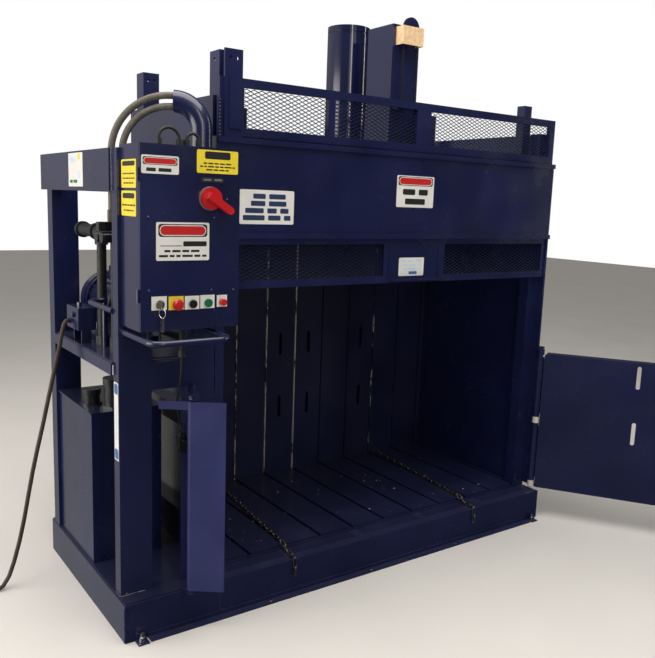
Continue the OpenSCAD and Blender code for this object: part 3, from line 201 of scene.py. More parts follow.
# Adds a second tone, bare metal or not, where the mask says so
def overlay(mat, mask, color, metallic=0.0):
    tree = mat.node_tree
    shader = tree.nodes["Principled BSDF"]
    under = shader.inputs["Base Color"]
    tree.links.new(mixColor(tree, mask, under.links[0].from_socket, color), under)
    if metallic:
        tree.links.new(mathNode(tree, "MULTIPLY", mask, metallic), shader.inputs["Metallic"])


def objectCoord(mat):
    tree = mat.node_tree
    return tree, next(n for n in tree.nodes if n.type == "TEX_COORD").outputs["Object"]


# Brushed-on gloss paint: brush waviness, runs, a few chips and dust on ledges
paintValues = {
    "toneScale": 2.6,
    "toneSpread": 0.25,
    "dustScale": 9.0,
    "dustTone": (0.11, 0.105, 0.12),
    "chipScale": 38.0,
    "chipEdge": (0.76, 0.785),
    "chipPatch": 4.1,
    "chipPatchEdge": (0.56, 0.66),
    "chipTone": (0.17, 0.15, 0.15),
    "roughScale": 5.5,
    "roughShares": (0.8, 1.5),
    "coat": 0.35,
    "coatRough": 0.12,
    "brushScale": 14.0,
    "brushStretch": (1, 1, 0.35),
    "grainScale": 120.0,
    "grainShare": 0.12,
    "depth": 0.004,
}


def paint(name, color, rough=0.22, dust=0.24, wave=0.25, chips=True):
    values = paintValues
    mat, tree, shader, vector = newMaterial(name)
    tone = ramp(tree, noise(tree, vector, values["toneScale"], 6),
                [(0.3, scaled(color, 1 - values["toneSpread"])), (0.7, scaled(color, 1 + values["toneSpread"]))])
    dusty = mathNode(tree, "MULTIPLY", upFacing(tree), noise(tree, vector, values["dustScale"], 8, 0.7))
    tone = mixColor(tree, mathNode(tree, "MULTIPLY", dusty, dust), tone, values["dustTone"])
    if chips:
        chip = maskRamp(tree, noise(tree, vector, values["chipScale"], 3, 0.4), *values["chipEdge"])
        patch = maskRamp(tree, noise(tree, vector, values["chipPatch"], 2), *values["chipPatchEdge"])
        tone = mixColor(tree, mathNode(tree, "MULTIPLY", chip, patch), tone, values["chipTone"])
    tree.links.new(tone, shader.inputs["Base Color"])
    least, most = (rough * share for share in values["roughShares"])
    roughness = roughRamp(tree, noise(tree, vector, values["roughScale"], 5), (0.3, least), (0.75, most))
    tree.links.new(roughness, shader.inputs["Roughness"])
    shader.inputs["Coat Weight"].default_value = values["coat"]
    shader.inputs["Coat Roughness"].default_value = values["coatRough"]
    brush = noise(tree, vector, values["brushScale"], 3, 0.45, values["brushStretch"])
    grain = mathNode(tree, "MULTIPLY", noise(tree, vector, values["grainScale"], 2), values["grainShare"])
    bump(tree, shader, mathNode(tree, "ADD", brush, grain), wave, values["depth"])
    return mat


# Bare or plated metal with stains
metalValues = {
    "stainScale": 30.0,
    "stainEdge": (0.45, 0.8),
    "roughScale": 90.0,
    "roughShares": (0.7, 1.4),
    "grainScale": 160.0,
    "wave": 0.12,
    "depth": 0.001,
}


def metal(name, color, rough=0.35, stain=(0.2, 0.17, 0.14), amount=0.5):
    values = metalValues
    mat, tree, shader, vector = newMaterial(name)
    spots = maskRamp(tree, noise(tree, vector, values["stainScale"], 5, 0.6), *values["stainEdge"])
    tone = mixColor(tree, mathNode(tree, "MULTIPLY", spots, amount), color, stain)
    tree.links.new(tone, shader.inputs["Base Color"])
    shader.inputs["Metallic"].default_value = 1.0
    least, most = (rough * share for share in values["roughShares"])
    roughness = roughRamp(tree, noise(tree, vector, values["roughScale"], 3), (0.2, least), (0.8, most))
    tree.links.new(roughness, shader.inputs["Roughness"])
    bump(tree, shader, noise(tree, vector, values["grainScale"], 2), values["wave"], values["depth"])
    return mat


# Plastic, rubber, ink and small dull parts
plainValues = {
    "roughShares": (0.85, 1.15),
    "roughFiner": 3,
    "grainFiner": 12,
    "depth": 0.0008,
}


def plain(name, color, rough=0.4, vary=0.18, wave=0.1, coat=0.0, scale=18.0):
    values = plainValues
    mat, tree, shader, vector = newMaterial(name)
    tone = ramp(tree, noise(tree, vector, scale, 5),
                [(0.25, scaled(color, 1 - vary)), (0.75, scaled(color, 1 + vary))])
    tree.links.new(tone, shader.inputs["Base Color"])
    least, most = (rough * share for share in values["roughShares"])
    roughness = roughRamp(tree, noise(tree, vector, scale * values["roughFiner"], 3), (0.3, least), (0.7, most))
    tree.links.new(roughness, shader.inputs["Roughness"])
    shader.inputs["Coat Weight"].default_value = coat
    bump(tree, shader, noise(tree, vector, scale * values["grainFiner"], 2), wave, values["depth"])
    return mat


navy = (0.0085, 0.0115, 0.052)
# The deck's navy is a quarter darker than the rest: painted shade on the chamber floor, the bay deck and the back
# wall
shadedDeckLook = {"color": scaled(navy, 0.75), "rough": 0.36, "dust": 0.07, "wave": 0.3}
plateLook = {"color": (0.72, 0.71, 0.68), "rough": 0.38, "vary": 0.06}

navyPaint = paint("navyPaint", navy)
deckPaint = paint("deckPaint", **shadedDeckLook)
meshPaint = paint("meshPaint", scaled(navy, 0.9), rough=0.3, dust=0.1, wave=0.1, chips=False)
barrelPaint = paint("barrelPaint", scaled(navy, 0.8), rough=0.1, dust=0.3, wave=0.12)
latchPaint = paint("latchPaint", (0.024, 0.031, 0.125), rough=0.34, dust=0.3)
# Lighter navy for the screw heads, a painted highlight
litScrewPaint = paint("litScrewPaint", scaled(navy, 2.2), rough=0.2, dust=0.3)

zinc = metal("zinc", (0.62, 0.63, 0.65), rough=0.32)
chainSteel = metal("chainSteel", (0.2, 0.185, 0.165), rough=0.42, stain=(0.085, 0.05, 0.032), amount=0.85)
chrome = metal("chrome", (0.8, 0.81, 0.83), rough=0.09, stain=(0.5, 0.5, 0.5), amount=0.15)
nickel = metal("nickel", (0.75, 0.73, 0.66), rough=0.22, stain=(0.5, 0.45, 0.3), amount=0.3)
brass = plain("brass", (0.78, 0.55, 0.32), rough=0.34, vary=0.22, wave=0.5, coat=0.3, scale=60)
blackIron = plain("blackIron", (0.011, 0.012, 0.016), rough=0.3, vary=0.3, wave=0.25, coat=0.3, scale=30)
copperCore = plain("copperCore", (0.35, 0.03, 0.02), rough=0.45, vary=0.3, wave=0.2)

blackRubber = plain("blackRubber", (0.01, 0.01, 0.011), rough=0.6, vary=0.25, wave=0.2)
hoseRubber = plain("hoseRubber", (0.115, 0.1, 0.082), rough=0.5, vary=0.3, wave=0.4, scale=60)
cordRubber = plain("cordRubber", (0.045, 0.03, 0.022), rough=0.6, vary=0.3, wave=0.3, scale=40)
greyPlastic = plain("greyPlastic", (0.16, 0.165, 0.175))
redPlastic = plain("redPlastic", (0.5, 0.012, 0.015), rough=0.24, vary=0.12, wave=0.06, coat=0.4)
greenPlastic = plain("greenPlastic", (0.004, 0.13, 0.05), rough=0.26, vary=0.12, wave=0.06, coat=0.4)
blackPlastic = plain("blackPlastic", (0.012, 0.012, 0.014), rough=0.28, vary=0.2, wave=0.06, coat=0.3)

whitePlate = plain("whitePlate", **plateLook)
yellowPlate = plain("yellowPlate", (0.8, 0.64, 0.03), vary=0.1)
redInk = plain("redInk", (0.5, 0.012, 0.012), rough=0.36, vary=0.12)
blackInk = plain("blackInk", (0.014, 0.014, 0.016), vary=0.15)
blueInk = plain("blueInk", (0.05, 0.14, 0.36), vary=0.12)
blueBlack = plain("blueBlack", (0.02, 0.035, 0.1), vary=0.12)
paleInk = plain("paleInk", (0.52, 0.66, 0.78), vary=0.08)

# Pale bands on the two lower knuckles of the door's hinge
hingeValues = {
    "bands": [((2.3, -0.02, 0.532), (2.4, 0.0645, 0.566)), ((2.3, -0.02, 0.17), (2.4, 0.0645, 0.204))],
    "tone": (0.6, 0.57, 0.52),
}


def makeHingePaint(values):
    mat = paint("hingePaint", navy, dust=0.1)
    tree, vector = objectCoord(mat)
    for low, high in values["bands"]:
        overlay(mat, boxMask(tree, vector, low, high), values["tone"])
    return mat


# Anchor clips are painted with the base, their bolts stay bright
anchorValues = {"bolts": {"X": 1.115, "Y": 0.497}, "reach": 0.013, "tone": (0.6, 0.6, 0.6)}


def makeAnchorPaint(values):
    mat = paint("anchorPaint", navy, dust=0.25)
    tree, vector = objectCoord(mat)
    parts = axesOf(tree, vector)
    squares = []
    for axis, middle in values["bolts"].items():
        off = mathNode(tree, "SUBTRACT", mathNode(tree, "ABSOLUTE", parts[axis]), middle)
        squares.append(mathNode(tree, "MULTIPLY", off, off))
    near = mathNode(tree, "LESS_THAN", mathNode(tree, "ADD", *squares), values["reach"] ** 2)
    overlay(mat, near, values["tone"], 1.0)
    return mat


# The emergency stop's plate is yellow, the other plates are white
legendValues = {"yellow": ((0.126, -0.2, 1.25), (0.182, 0.0, 1.4)), "tone": (0.8, 0.62, 0.03)}


def makeLegendPlate(values):
    mat = plain("legendPlate", **plateLook)
    tree, vector = objectCoord(mat)
    overlay(mat, boxMask(tree, vector, *values["yellow"]), values["tone"])
    return mat


# Painted highlights along the back wall's seams: pale lines for light on the channels' rounded edges, broken up
# in dashes
seamHighlightValues = {
    "start": 0.412,
    "pitch": 0.186,
    "limits": {3: 0.46, 4: 0.44, 5: 0.36, 8: 0.52},  # how much of the painted highlight drops out at each seam
    "softness": 0.08,
    "x": (0.0035, 0.0085),
    "y": (0.94, 0.96),
    "z": (0.1, 2.1),
    "breakScale": 22.0,
    # colour of the painted highlight
    "tone": (0.5, 0.46, 0.41),
}


def makeBackPaint(values):
    # The back wall takes the deck's darker navy, painted shade inside the chamber
    mat = paint("backPaint", **shadedDeckLook)
    tree, vector = objectCoord(mat)
    for number, limit in values["limits"].items():
        seam = values["start"] + number * values["pitch"]
        low, high = zip((seam + values["x"][0], seam + values["x"][1]), values["y"], values["z"])
        band = boxMask(tree, vector, low, high)
        breakNoise = noise(tree, vector, values["breakScale"], 5, 0.7, (1, 1, 0.5))
        litShare = maskRamp(tree, breakNoise, limit, limit + values["softness"])
        # pale seam lines, a painted highlight
        overlay(mat, mathNode(tree, "MULTIPLY", band, litShare), values["tone"])
    return mat


nodeMaterials = {
    "chamber_floor": deckPaint,
    "bay_deck": deckPaint,
    "back_wall": makeBackPaint(seamHighlightValues),
    "cylinder_barrel": barrelPaint,
    "anchor_bolts": makeAnchorPaint(anchorValues),
    "piston_rod": chrome,
    "mast_chains": blackIron,
    "chain_cover": brass,
    "counterweight": blackIron,
    "door_hinge": makeHingePaint(hingeValues),
    "latch_plate": latchPaint,
    "control_gear": zinc,
    "legend_plates": makeLegendPlate(legendValues),
    "main_switch": greyPlastic,
    "switch_handle": redPlastic,
    "key_switch": nickel,
    "estop_button": redPlastic,
    "black_button": blackPlastic,
    "green_button": greenPlastic,
    "lamp_button": redPlastic,
    "pump": blackIron,
    "valve_block": blackIron,
    "tank_fittings": blackIron,
    "oil_hoses": blackRubber,
    "pressure_hoses": hoseRubber,
    "box_conduits": blackRubber,
    "interlock_switch": blackPlastic,
    "interlock_cable": blackRubber,
    "ejector_chains": chainSteel,
    "power_cord": cordRubber,
    "gate_mesh": meshPaint,
}
for name, obj in nodes.items():
    obj.data.materials.clear()
    obj.data.materials.append(nodeMaterials.get(name, navyPaint))
print("stage: materials")


# Object helpers
def addObject(name, mesh, mats, body, smooth=False):
    obj = bpy.data.objects.new(name, mesh)
    bpy.context.scene.collection.objects.link(obj)
    for mat in mats:
        mesh.materials.append(mat)
    if smooth:
        for face in mesh.polygons:
            face.use_smooth = True
    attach(obj, body)
    return obj


def meshFrom(name, bm):
    mesh = bpy.data.meshes.new(name)
    bm.to_mesh(mesh)
    bm.free()
    return mesh


def facesOf(verts):
    return dict.fromkeys(face for vert in verts for face in vert.link_faces)


def edgesOf(verts):
    return list(dict.fromkeys(edge for vert in verts for edge in vert.link_edges))


def addBox(bm, low, high):
    shape = Matrix.Diagonal((*(high - low), 1))
    return bmesh.ops.create_cube(bm, size=1, matrix=Matrix.Translation((low + high) / 2) @ shape)["verts"]


def addRod(bm, start, end, radius, sides, mat=0):
    axis = end - start
    turn = axis.to_track_quat("Z", "Y").to_matrix().to_4x4()
    made = bmesh.ops.create_cone(bm, cap_ends=True, segments=sides, radius1=radius, radius2=radius,
                                 depth=axis.length, matrix=Matrix.Translation((start + end) / 2) @ turn)
    for face in facesOf(made["verts"]):
        face.material_index = mat


# Rings along the route, bridged one to the next and closed at both ends
def addTube(bm, route, radii, sides):
    last = len(route) - 1
    side, before = None, []
    for i, (point, radius) in enumerate(zip(route, radii)):
        ahead = (route[min(i + 1, last)] - route[max(i - 1, 0)]).normalized()
        side = side or ahead.orthogonal().normalized()
        side = (side - ahead * side.dot(ahead)).normalized()
        turn = Matrix((side, ahead.cross(side), ahead)).transposed().to_4x4()
        made = bmesh.ops.create_circle(bm, cap_ends=i in (0, last), segments=sides, radius=radius,
                                       matrix=Matrix.Translation(point) @ turn)
        ring = edgesOf(made["verts"])
        if before:
            bmesh.ops.bridge_loops(bm, edges=before + ring)
        before = ring


# For closed shells: all faces are turned outwards first
def shellMesh(name, bm):
    bmesh.ops.recalc_face_normals(bm, faces=bm.faces)
    return meshFrom(name, bm)


# Power cord: hangs from the junction box and ends on the floor with bare cores
cordValues = {
    "route": [(-8, 610, 1155), (-15, 610, 1155), (-24, 612, 1142), (-33, 615, 1105), (-44, 620, 1040),
              (-58, 628, 970), (-74, 636, 890), (-92, 644, 800), (-112, 652, 700), (-134, 660, 600),
              (-154, 668, 500), (-172, 674, 400), (-190, 678, 300), (-212, 680, 200), (-238, 678, 110),
              (-262, 672, 50), (-290, 662, 16), (-312, 654, 10)],
    "diameter": 0.018,
    "sides": 12,
}


def makeCord(values):
    points = [placeMm(point) for point in values["route"]]
    bm = bmesh.new()
    addTube(bm, points, [values["diameter"] / 2] * len(points), values["sides"])
    cord = addObject("powerCord", shellMesh("powerCord", bm), [cordRubber], "frame", True)
    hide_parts("power_cord")


makeCord(cordValues)
print("stage: cord")


# Fine expanded metal in the gate's windows
meshValues = {
    "pitchX": 0.034,
    "pitchZ": 0.0155,
    "strand": 0.0032,
    "thick": 0.0016,
    "tilt": 34.0,
    "overlap": 1.08,  # strand length over the distance from knot to knot
    "rail": 0.032,
    "midRail": 0.175,  # both rails count from the gate's lower edge
    "upperRail": 0.59,
    "plate": (0.063, 0.435),  # left and right edge of the gate's plate
    "sideStile": 0.105,
    "dividerShare": 0.26,
    "stile": (0.22, 0.304),  # left and right edge of the stile below the mast
}


def gateWindows(values):
    low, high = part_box("feed_gate")
    rail = values["rail"]
    left, right = low[0] + rail, high[0] - rail
    bottom, top = low[2] + rail, high[2] - rail
    middle = low[2] + values["midRail"]
    upper = low[2] + values["upperRail"]
    divider = low[0] + values["dividerShare"] * (high[0] - low[0])
    return [
        (left, values["plate"][0], bottom, middle),
        (values["plate"][1], right, bottom, middle),
        (left, right, middle + rail, upper),
        (low[0] + values["sideStile"], divider, upper + rail, top),
        (divider + rail, values["stile"][0], upper + rail, top),
        (values["stile"][1], right, upper + rail, top),
    ]


# Copies all that a bmesh holds, step by step
def repeat(bm, count, step):
    if count > 1:
        geom = bm.verts[:] + bm.edges[:] + bm.faces[:]
        bmesh.ops.spin(bm, geom=geom, cent=(0, 0, 0), axis=(0, 0, 1), dvec=step, angle=0,
                       steps=count - 1, use_duplicate=True)


# Strands that lean one way in every second column and row
def strandField(corner, slope, columns, rows, values):
    stepX, stepZ = values["pitchX"] / 2, values["pitchZ"] / 2
    size = Vector((math.hypot(stepX, stepZ) * values["overlap"], values["thick"], values["strand"]))
    turn = (Matrix.Rotation(-math.atan2(slope * stepZ, stepX), 4, "Y")
            @ Matrix.Rotation(math.radians(values["tilt"]), 4, "X"))
    bm = bmesh.new()
    bmesh.ops.create_cube(bm, size=1, matrix=Matrix.Translation(corner) @ turn @ Matrix.Diagonal((*size, 1)))
    repeat(bm, rows, (0, 0, values["pitchZ"]))
    repeat(bm, columns, (values["pitchX"], 0, 0))
    return meshFrom("strands", bm)


def fillWindow(bm, window, y, values):
    left, right, bottom, top = window
    stepX, stepZ = values["pitchX"] / 2, values["pitchZ"] / 2
    columns = round((right - left) / stepX)
    rows = round((top - bottom) / stepZ)
    for column in (0, 1):
        for row in (0, 1):
            corner = (left + (column + 0.5) * stepX, y, bottom + (row + 0.5) * stepZ)
            slope = 1 if column == row else -1
            strands = strandField(corner, slope, (columns - column + 1) // 2, (rows - row + 1) // 2, values)
            bm.from_mesh(strands)
            bpy.data.meshes.remove(strands)


def makeGateMesh(values):
    low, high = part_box("gate_mesh")
    bm = bmesh.new()
    for window in gateWindows(values):
        fillWindow(bm, window, (low[1] + high[1]) / 2, values)
    obj = addObject("gateExpandedMetal", meshFrom("gateExpandedMetal", bm), [meshPaint], "gate")
    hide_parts("gate_mesh")


makeGateMesh(meshValues)
print("stage: gate mesh")


# Sign places: rounded plates with fields of colour only
plateShape = {
    "corner": 0.006,
    "thick": 0.0006,
    "segments": 5,
    "inkThick": 0.0001,
    "layer": 0.00015,
    "fieldRound": 0.24,
    "pillRound": 0.48,
    "barRound": 0.3,
    "longField": 5.5,
    "barLengths": (2.0, 5.5),
    "barGap": 0.8,
    "headShares": [(1, 1), (0.95, 0.84), (0.92, 0.7)],
    "seed": 3,
}

# A field holds x, z, width, height and ink, and a raised field its layer too
signs = {
    "boxSignTop": {
        "at": (0.0955, -0.1122, 1.7855), "size": (0.135, 0.061), "body": "box_lid", "base": whitePlate,
        "head": (0.012, 0.124, 0.026),
        "fields": [(0, -0.017, 0.1, 0.012, blackInk)],
    },
    "boxSignWarm": {
        "at": (0.3105, -0.1122, 1.806), "size": (0.161, 0.08), "body": "box_lid", "base": yellowPlate,
        "fields": [(0, 0.022, 0.1, 0.026, blackInk), (0, -0.006, 0.11, 0.005, blackInk),
                   (0, -0.017, 0.136, 0.005, blackInk), (0, -0.028, 0.09, 0.005, blackInk)],
    },
    "switchPlate": {
        "at": (0.291, -0.1122, 1.7435), "size": (0.09, 0.018), "body": "box_lid", "base": blackInk,
        "fields": [(-0.02, 0, 0.03, 0.006, greyPlastic), (0.022, 0, 0.03, 0.006, greyPlastic)],
    },
    "boxSignWide": {
        "at": (0.18, -0.1122, 1.528), "size": (0.2, 0.132), "body": "box_lid", "base": whitePlate,
        "head": (0.038, 0.184, 0.044),
        "fields": [(0.045, -0.008, 0.09, 0.018, blackInk), (-0.045, -0.015, 0.08, 0.0025, blackInk, 1),
                   (0, -0.033, 0.14, 0.008, blackInk), (0, -0.05, 0.18, 0.008, blackInk)],
    },
    "panelSignLeft": {
        "at": (0.623, 0.0678, 1.652), "size": (0.25, 0.134), "body": "frame", "base": whitePlate,
        "fields": [(0.01, 0.042, 0.15, 0.02, blueBlack), (0.01, 0.014, 0.17, 0.02, blueBlack),
                   (0, -0.014, 0.2, 0.02, blueBlack), (0, -0.042, 0.22, 0.02, blueBlack)],
    },
    "panelSignRight": {
        "at": (1.4, 0.0678, 1.74), "size": (0.222, 0.14), "body": "frame", "base": whitePlate,
        "head": (0.046, 0.206, 0.04),
        "fields": [(0, -0.002, 0.15, 0.026, blackInk), (0, -0.044, 0.12, 0.026, blackInk)],
    },
    "gatePlateSign": {
        "at": (1.404, 0.0741, 1.4), "size": (0.152, 0.084), "body": "gate", "base": whitePlate,
        "fields": [(0, 0.026, 0.12, 0.01, paleInk), (0, 0.008, 0.13, 0.01, paleInk),
                   (0, -0.01, 0.1, 0.01, paleInk), (0.01, -0.028, 0.05, 0.014, blueInk)],
    },
    "boxSideUpper": {
        "at": (0.0228, -0.012, 1.754), "size": (0.136, 0.096), "body": "frame", "base": yellowPlate,
        "facesLeft": True,
        "fields": [(0, 0.034, 0.116, 0.016, blackInk, 1), (0, 0.0, 0.11, 0.005, blackInk),
                   (0, -0.016, 0.11, 0.005, blackInk), (0, -0.032, 0.09, 0.005, blackInk)],
    },
    "boxSideLower": {
        "at": (0.0228, -0.011, 1.653), "size": (0.136, 0.086), "body": "frame", "base": yellowPlate,
        "facesLeft": True,
        "fields": [(0, 0.026, 0.11, 0.018, blackInk, 1), (0, -0.006, 0.12, 0.006, blackInk),
                   (0, -0.024, 0.09, 0.005, blackInk)],
    },
    "beamSign": {
        "at": (-0.0002, 0.498, 1.772), "size": (0.178, 0.13), "body": "frame", "base": whitePlate,
        "facesLeft": True,
        "fields": [(0.045, 0.05, 0.03, 0.022, yellowPlate), (-0.03, 0.04, 0.08, 0.02, paleInk),
                   (0.045, -0.02, 0.03, 0.028, paleInk), (-0.02, -0.045, 0.1, 0.012, greenPlastic)],
    },
    "postSign": {
        "at": (0.0098, 0.095, 0.848), "size": (0.042, 0.3), "body": "frame", "base": whitePlate,
        "facesLeft": True,
        "fields": [(0, 0.125, 0.036, 0.04, blueInk), (0, -0.125, 0.036, 0.04, blueInk),
                   (0, 0.0, 0.01, 0.14, paleInk)],
    },
}


# A flat box with round corners that faces the front, its back at the given depth
def roundedPlate(bm, x, z, width, height, radius, depth, thick, mat):
    verts = addBox(bm, Vector((x - width / 2, -depth - thick, z - height / 2)),
                   Vector((x + width / 2, -depth, z + height / 2)))
    for face in facesOf(verts):
        face.material_index = mat
    corners = [edge for edge in edgesOf(verts) if abs(edge.verts[0].co.y - edge.verts[1].co.y) > thick / 2]
    bmesh.ops.bevel(bm, geom=corners, offset=radius, offset_type="OFFSET", segments=plateShape["segments"],
                    profile=0.5, affect="EDGES", material=-1)


# A long thin field becomes a row of bars of uneven width
def barsOf(rng, x, width, height):
    if width < plateShape["longField"] * height:
        return [(x, width)]
    bars = []
    start, end = x - width / 2, x + width / 2
    while end - start > height:
        size = min(height * rng.uniform(*plateShape["barLengths"]), end - start)
        bars.append((start + size / 2, size))
        start += size + height * plateShape["barGap"]
    return bars


# Black frame, white line and red field, one on top of the other
def headFields(z, width, height):
    inks = (blackInk, whitePlate, redInk)
    return [(0, z, width * across, height * along, ink, layer)
            for layer, (ink, (across, along)) in enumerate(zip(inks, plateShape["headShares"]))]


def makeSign(name, values):
    mats = [values["base"]]
    bm = bmesh.new()
    roundedPlate(bm, 0, 0, *values["size"], plateShape["corner"], 0, plateShape["thick"], 0)
    rng = random.Random(plateShape["seed"])
    fields = (headFields(*values["head"]) if "head" in values else []) + values["fields"]
    for x, z, width, height, ink, *layers in fields:
        if ink not in mats:
            mats.append(ink)
        layer = layers[0] if layers else 0
        radius = height * plateShape["pillRound" if layer else "fieldRound"]
        depth = plateShape["thick"] + plateShape["layer"] * layer
        for barX, barWidth in [(x, width)] if layer else barsOf(rng, x, width, height):
            roundedPlate(bm, barX, z, barWidth, height, min(radius, barWidth * plateShape["barRound"]),
                         depth, plateShape["inkThick"], mats.index(ink))
    turn = Matrix.Rotation(math.radians(-90), 4, "Z") if values.get("facesLeft") else Matrix()
    bmesh.ops.transform(bm, matrix=Matrix.Translation(place(*values["at"])) @ turn, verts=bm.verts)
    addObject(name, shellMesh(name, bm), mats, values["body"])


for signName, signValues in signs.items():
    makeSign(signName, signValues)
print("stage: signs")


# Screw heads on the box door, in millimetres like all small pieces below; their lighter navy is a painted
# highlight
screwValues = {
    "y": -112,
    "radius": 4.5,
    "head": 2.5,
    "sunk": 0.5,
    "sides": 14,
    "at": [(52, 1610), (298, 1611), (349, 1676), (54, 1359), (289, 1354), (379, 1351)],
}


def makeScrews(values):
    bm = bmesh.new()
    for x, z in values["at"]:
        addRod(bm, placeMm((x, values["y"] - values["head"], z)), placeMm((x, values["y"] + values["sunk"], z)),
               values["radius"] / 1000, values["sides"])
    addObject("boxScrews", meshFrom("boxScrews", bm), [litScrewPaint], "box_lid", True)


# Weld beads: rippled runs along the seams of the frame
weldValues = {
    "radius": 3.5,
    "sides": 8,
    "step": 3.0,
    "fewest": 4,
    "ripple": 0.28,
    "uneven": 0.12,
    "wander": 0.6,
    "seed": 7,
    "seams": [
        ((10, 117, 1692), (10, 117, 1844)), ((10, 70, 1692), (10, 118, 1692)),
        ((0.5, 0.5, 4), (0.5, 0.5, 148)), ((400, 0.5, 4), (400, 0.5, 148)),
        ((12, 67, 159), (108, 67, 159)), ((10, 68, 159), (10, 118, 159)),
        ((463, 64, 1940), (463, 64, 2084)), ((491, 64, 1940), (491, 64, 2084)),
    ],
}


def makeWelds(values):
    rng = random.Random(values["seed"])
    wander, uneven = values["wander"] / 1000, values["uneven"]
    bm = bmesh.new()
    for start, end in values["seams"]:
        start, end = placeMm(start), placeMm(end)
        count = max(values["fewest"], int((end - start).length * 1000 / values["step"]))
        route = [start.lerp(end, k / count) + Vector([rng.uniform(-wander, wander) for _ in range(3)])
                 for k in range(count + 1)]
        radii = [values["radius"] / 1000 * (1 + values["ripple"] * (k % 2) + rng.uniform(-uneven, uneven))
                 for k in range(count + 1)]
        addTube(bm, route, radii, values["sides"])
    addObject("weldBeads", shellMesh("weldBeads", bm), [navyPaint], "frame", True)


# Perforated strip left of the guide post
stripValues = {
    "x": (399, 413),
    "y": 66,
    "z": (1897, 2052),
    "thick": 2,
    "dot": 3.2,
    "raised": 1.2,
    "sides": 12,
    "pitch": 13,
}


def makeStrip(values):
    bm = bmesh.new()
    (left, right), (low, high) = values["x"], values["z"]
    middle, y = (left + right) / 2, values["y"]
    addBox(bm, placeMm((left, y - values["thick"], low)), placeMm((right, y + values["thick"], high)))
    z = low + values["pitch"] / 2
    while z < high:
        addRod(bm, placeMm((middle, y - values["thick"] - values["raised"], z)), placeMm((middle, y, z)),
               values["dot"] / 1000, values["sides"], 1)
        z += values["pitch"]
    addObject("guideStrip", meshFrom("guideStrip", bm), [navyPaint, nickel], "frame")


# Lip under the gate's upper rail, in line with the mesh
lipValues = {"z": (1911.5, 1918.5), "margin": 2, "thick": 8}


def makeLip(values):
    low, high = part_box("gate_mesh")
    middle = (low[1] + high[1]) / 2
    margin, half = values["margin"] / 1000, values["thick"] / 2000
    bottom, top = (z / 1000 for z in values["z"])
    bm = bmesh.new()
    addBox(bm, Vector((low[0] + margin, middle - half, bottom)), Vector((high[0] - margin, middle + half, top)))
    addObject("gateLip", meshFrom("gateLip", bm), [navyPaint], "gate")


# Bare cores at the cord's far end, spread and sagging to the floor
coreValues = {
    "length": 55,
    "radius": 2.6,
    "sides": 8,
    "spread": (-9, 0, 9),
    "closeness": 0.3,
    "sag": 5.5,
    "sagRate": 1.6,
    "stations": (0, 0.25, 0.5, 0.75, 1),
}


def makeCores(values, cord):
    end, before = Vector(cord["route"][-1]), Vector(cord["route"][-2])
    ahead = (end - before).normalized()
    ahead.z = 0
    aside = Vector((-ahead.y, ahead.x, 0))
    bm = bmesh.new()
    for shift in values["spread"]:
        route = []
        for t in values["stations"]:
            drop = Vector((0, 0, -values["sag"] * min(1, values["sagRate"] * t)))
            along, across = ahead * t * values["length"], aside * shift * (values["closeness"] + t * t)
            route.append(placeMm(end + along + across + drop))
        addTube(bm, route, [values["radius"] / 1000] * len(route), values["sides"])
    addObject("cordCores", shellMesh("cordCores", bm), [copperCore], "frame", True)


# Flakes of cardboard and dust left on the chamber floor
litterValues = {
    "count": 70,
    "x": (470, 2260),
    "y": (130, 930),
    "z": 170.4,
    "size": (2, 7),
    "thick": 0.8,
    "corners": 5,
    "least": 0.5,
    "kinds": (0, 0, 1),
    "seed": 11,
}
cardFlake = plain("cardFlake", (0.2, 0.13, 0.07), rough=0.8, vary=0.3)
dustFlake = plain("dustFlake", (0.4, 0.37, 0.32), rough=0.85, vary=0.2)


def makeLitter(values):
    rng = random.Random(values["seed"])
    bm = bmesh.new()
    for _ in range(values["count"]):
        middle = Vector((rng.uniform(*values["x"]), rng.uniform(*values["y"]), values["z"]))
        size = rng.uniform(*values["size"])
        turn = rng.uniform(0, math.tau)
        rim = []
        for k in range(values["corners"]):
            reach = size * rng.uniform(values["least"], 1)
            angle = turn + math.tau * k / values["corners"]
            rim.append(bm.verts.new(placeMm(middle + reach * Vector((math.cos(angle), math.sin(angle), 0)))))
        flake = bm.faces.new(rim)
        raised = [item for item in bmesh.ops.extrude_face_region(bm, geom=[flake])["geom"]
                  if isinstance(item, bmesh.types.BMVert)]
        bmesh.ops.translate(bm, verts=raised, vec=(0, 0, values["thick"] / 1000))
        kind = rng.choice(values["kinds"])
        for face in facesOf(rim + raised):
            face.material_index = kind
    addObject("floorLitter", shellMesh("floorLitter", bm), [cardFlake, dustFlake], "frame")


makeScrews(screwValues)
makeWelds(weldValues)
makeStrip(stripValues)
makeLip(lipValues)
makeCores(coreValues, cordValues)
makeLitter(litterValues)
print("stage: small pieces")


# Plain pale floor that reflections leave out
floorValues = {"size": 40.0, "drop": 0.0005, "color": (0.7, 0.68, 0.65)}


def makeFloor(values):
    bm = bmesh.new()
    bmesh.ops.create_grid(bm, x_segments=1, y_segments=1, size=values["size"] / 2,
                          matrix=Matrix.Translation((0, 0, -values["drop"])))
    mesh = meshFrom("floor", bm)
    mesh.materials.append(plain("floorMaterial", values["color"], rough=0.7, vary=0.03, wave=0.02, scale=1.5))
    obj = bpy.data.objects.new("floor", mesh)
    bpy.context.scene.collection.objects.link(obj)
    obj.visible_glossy = False


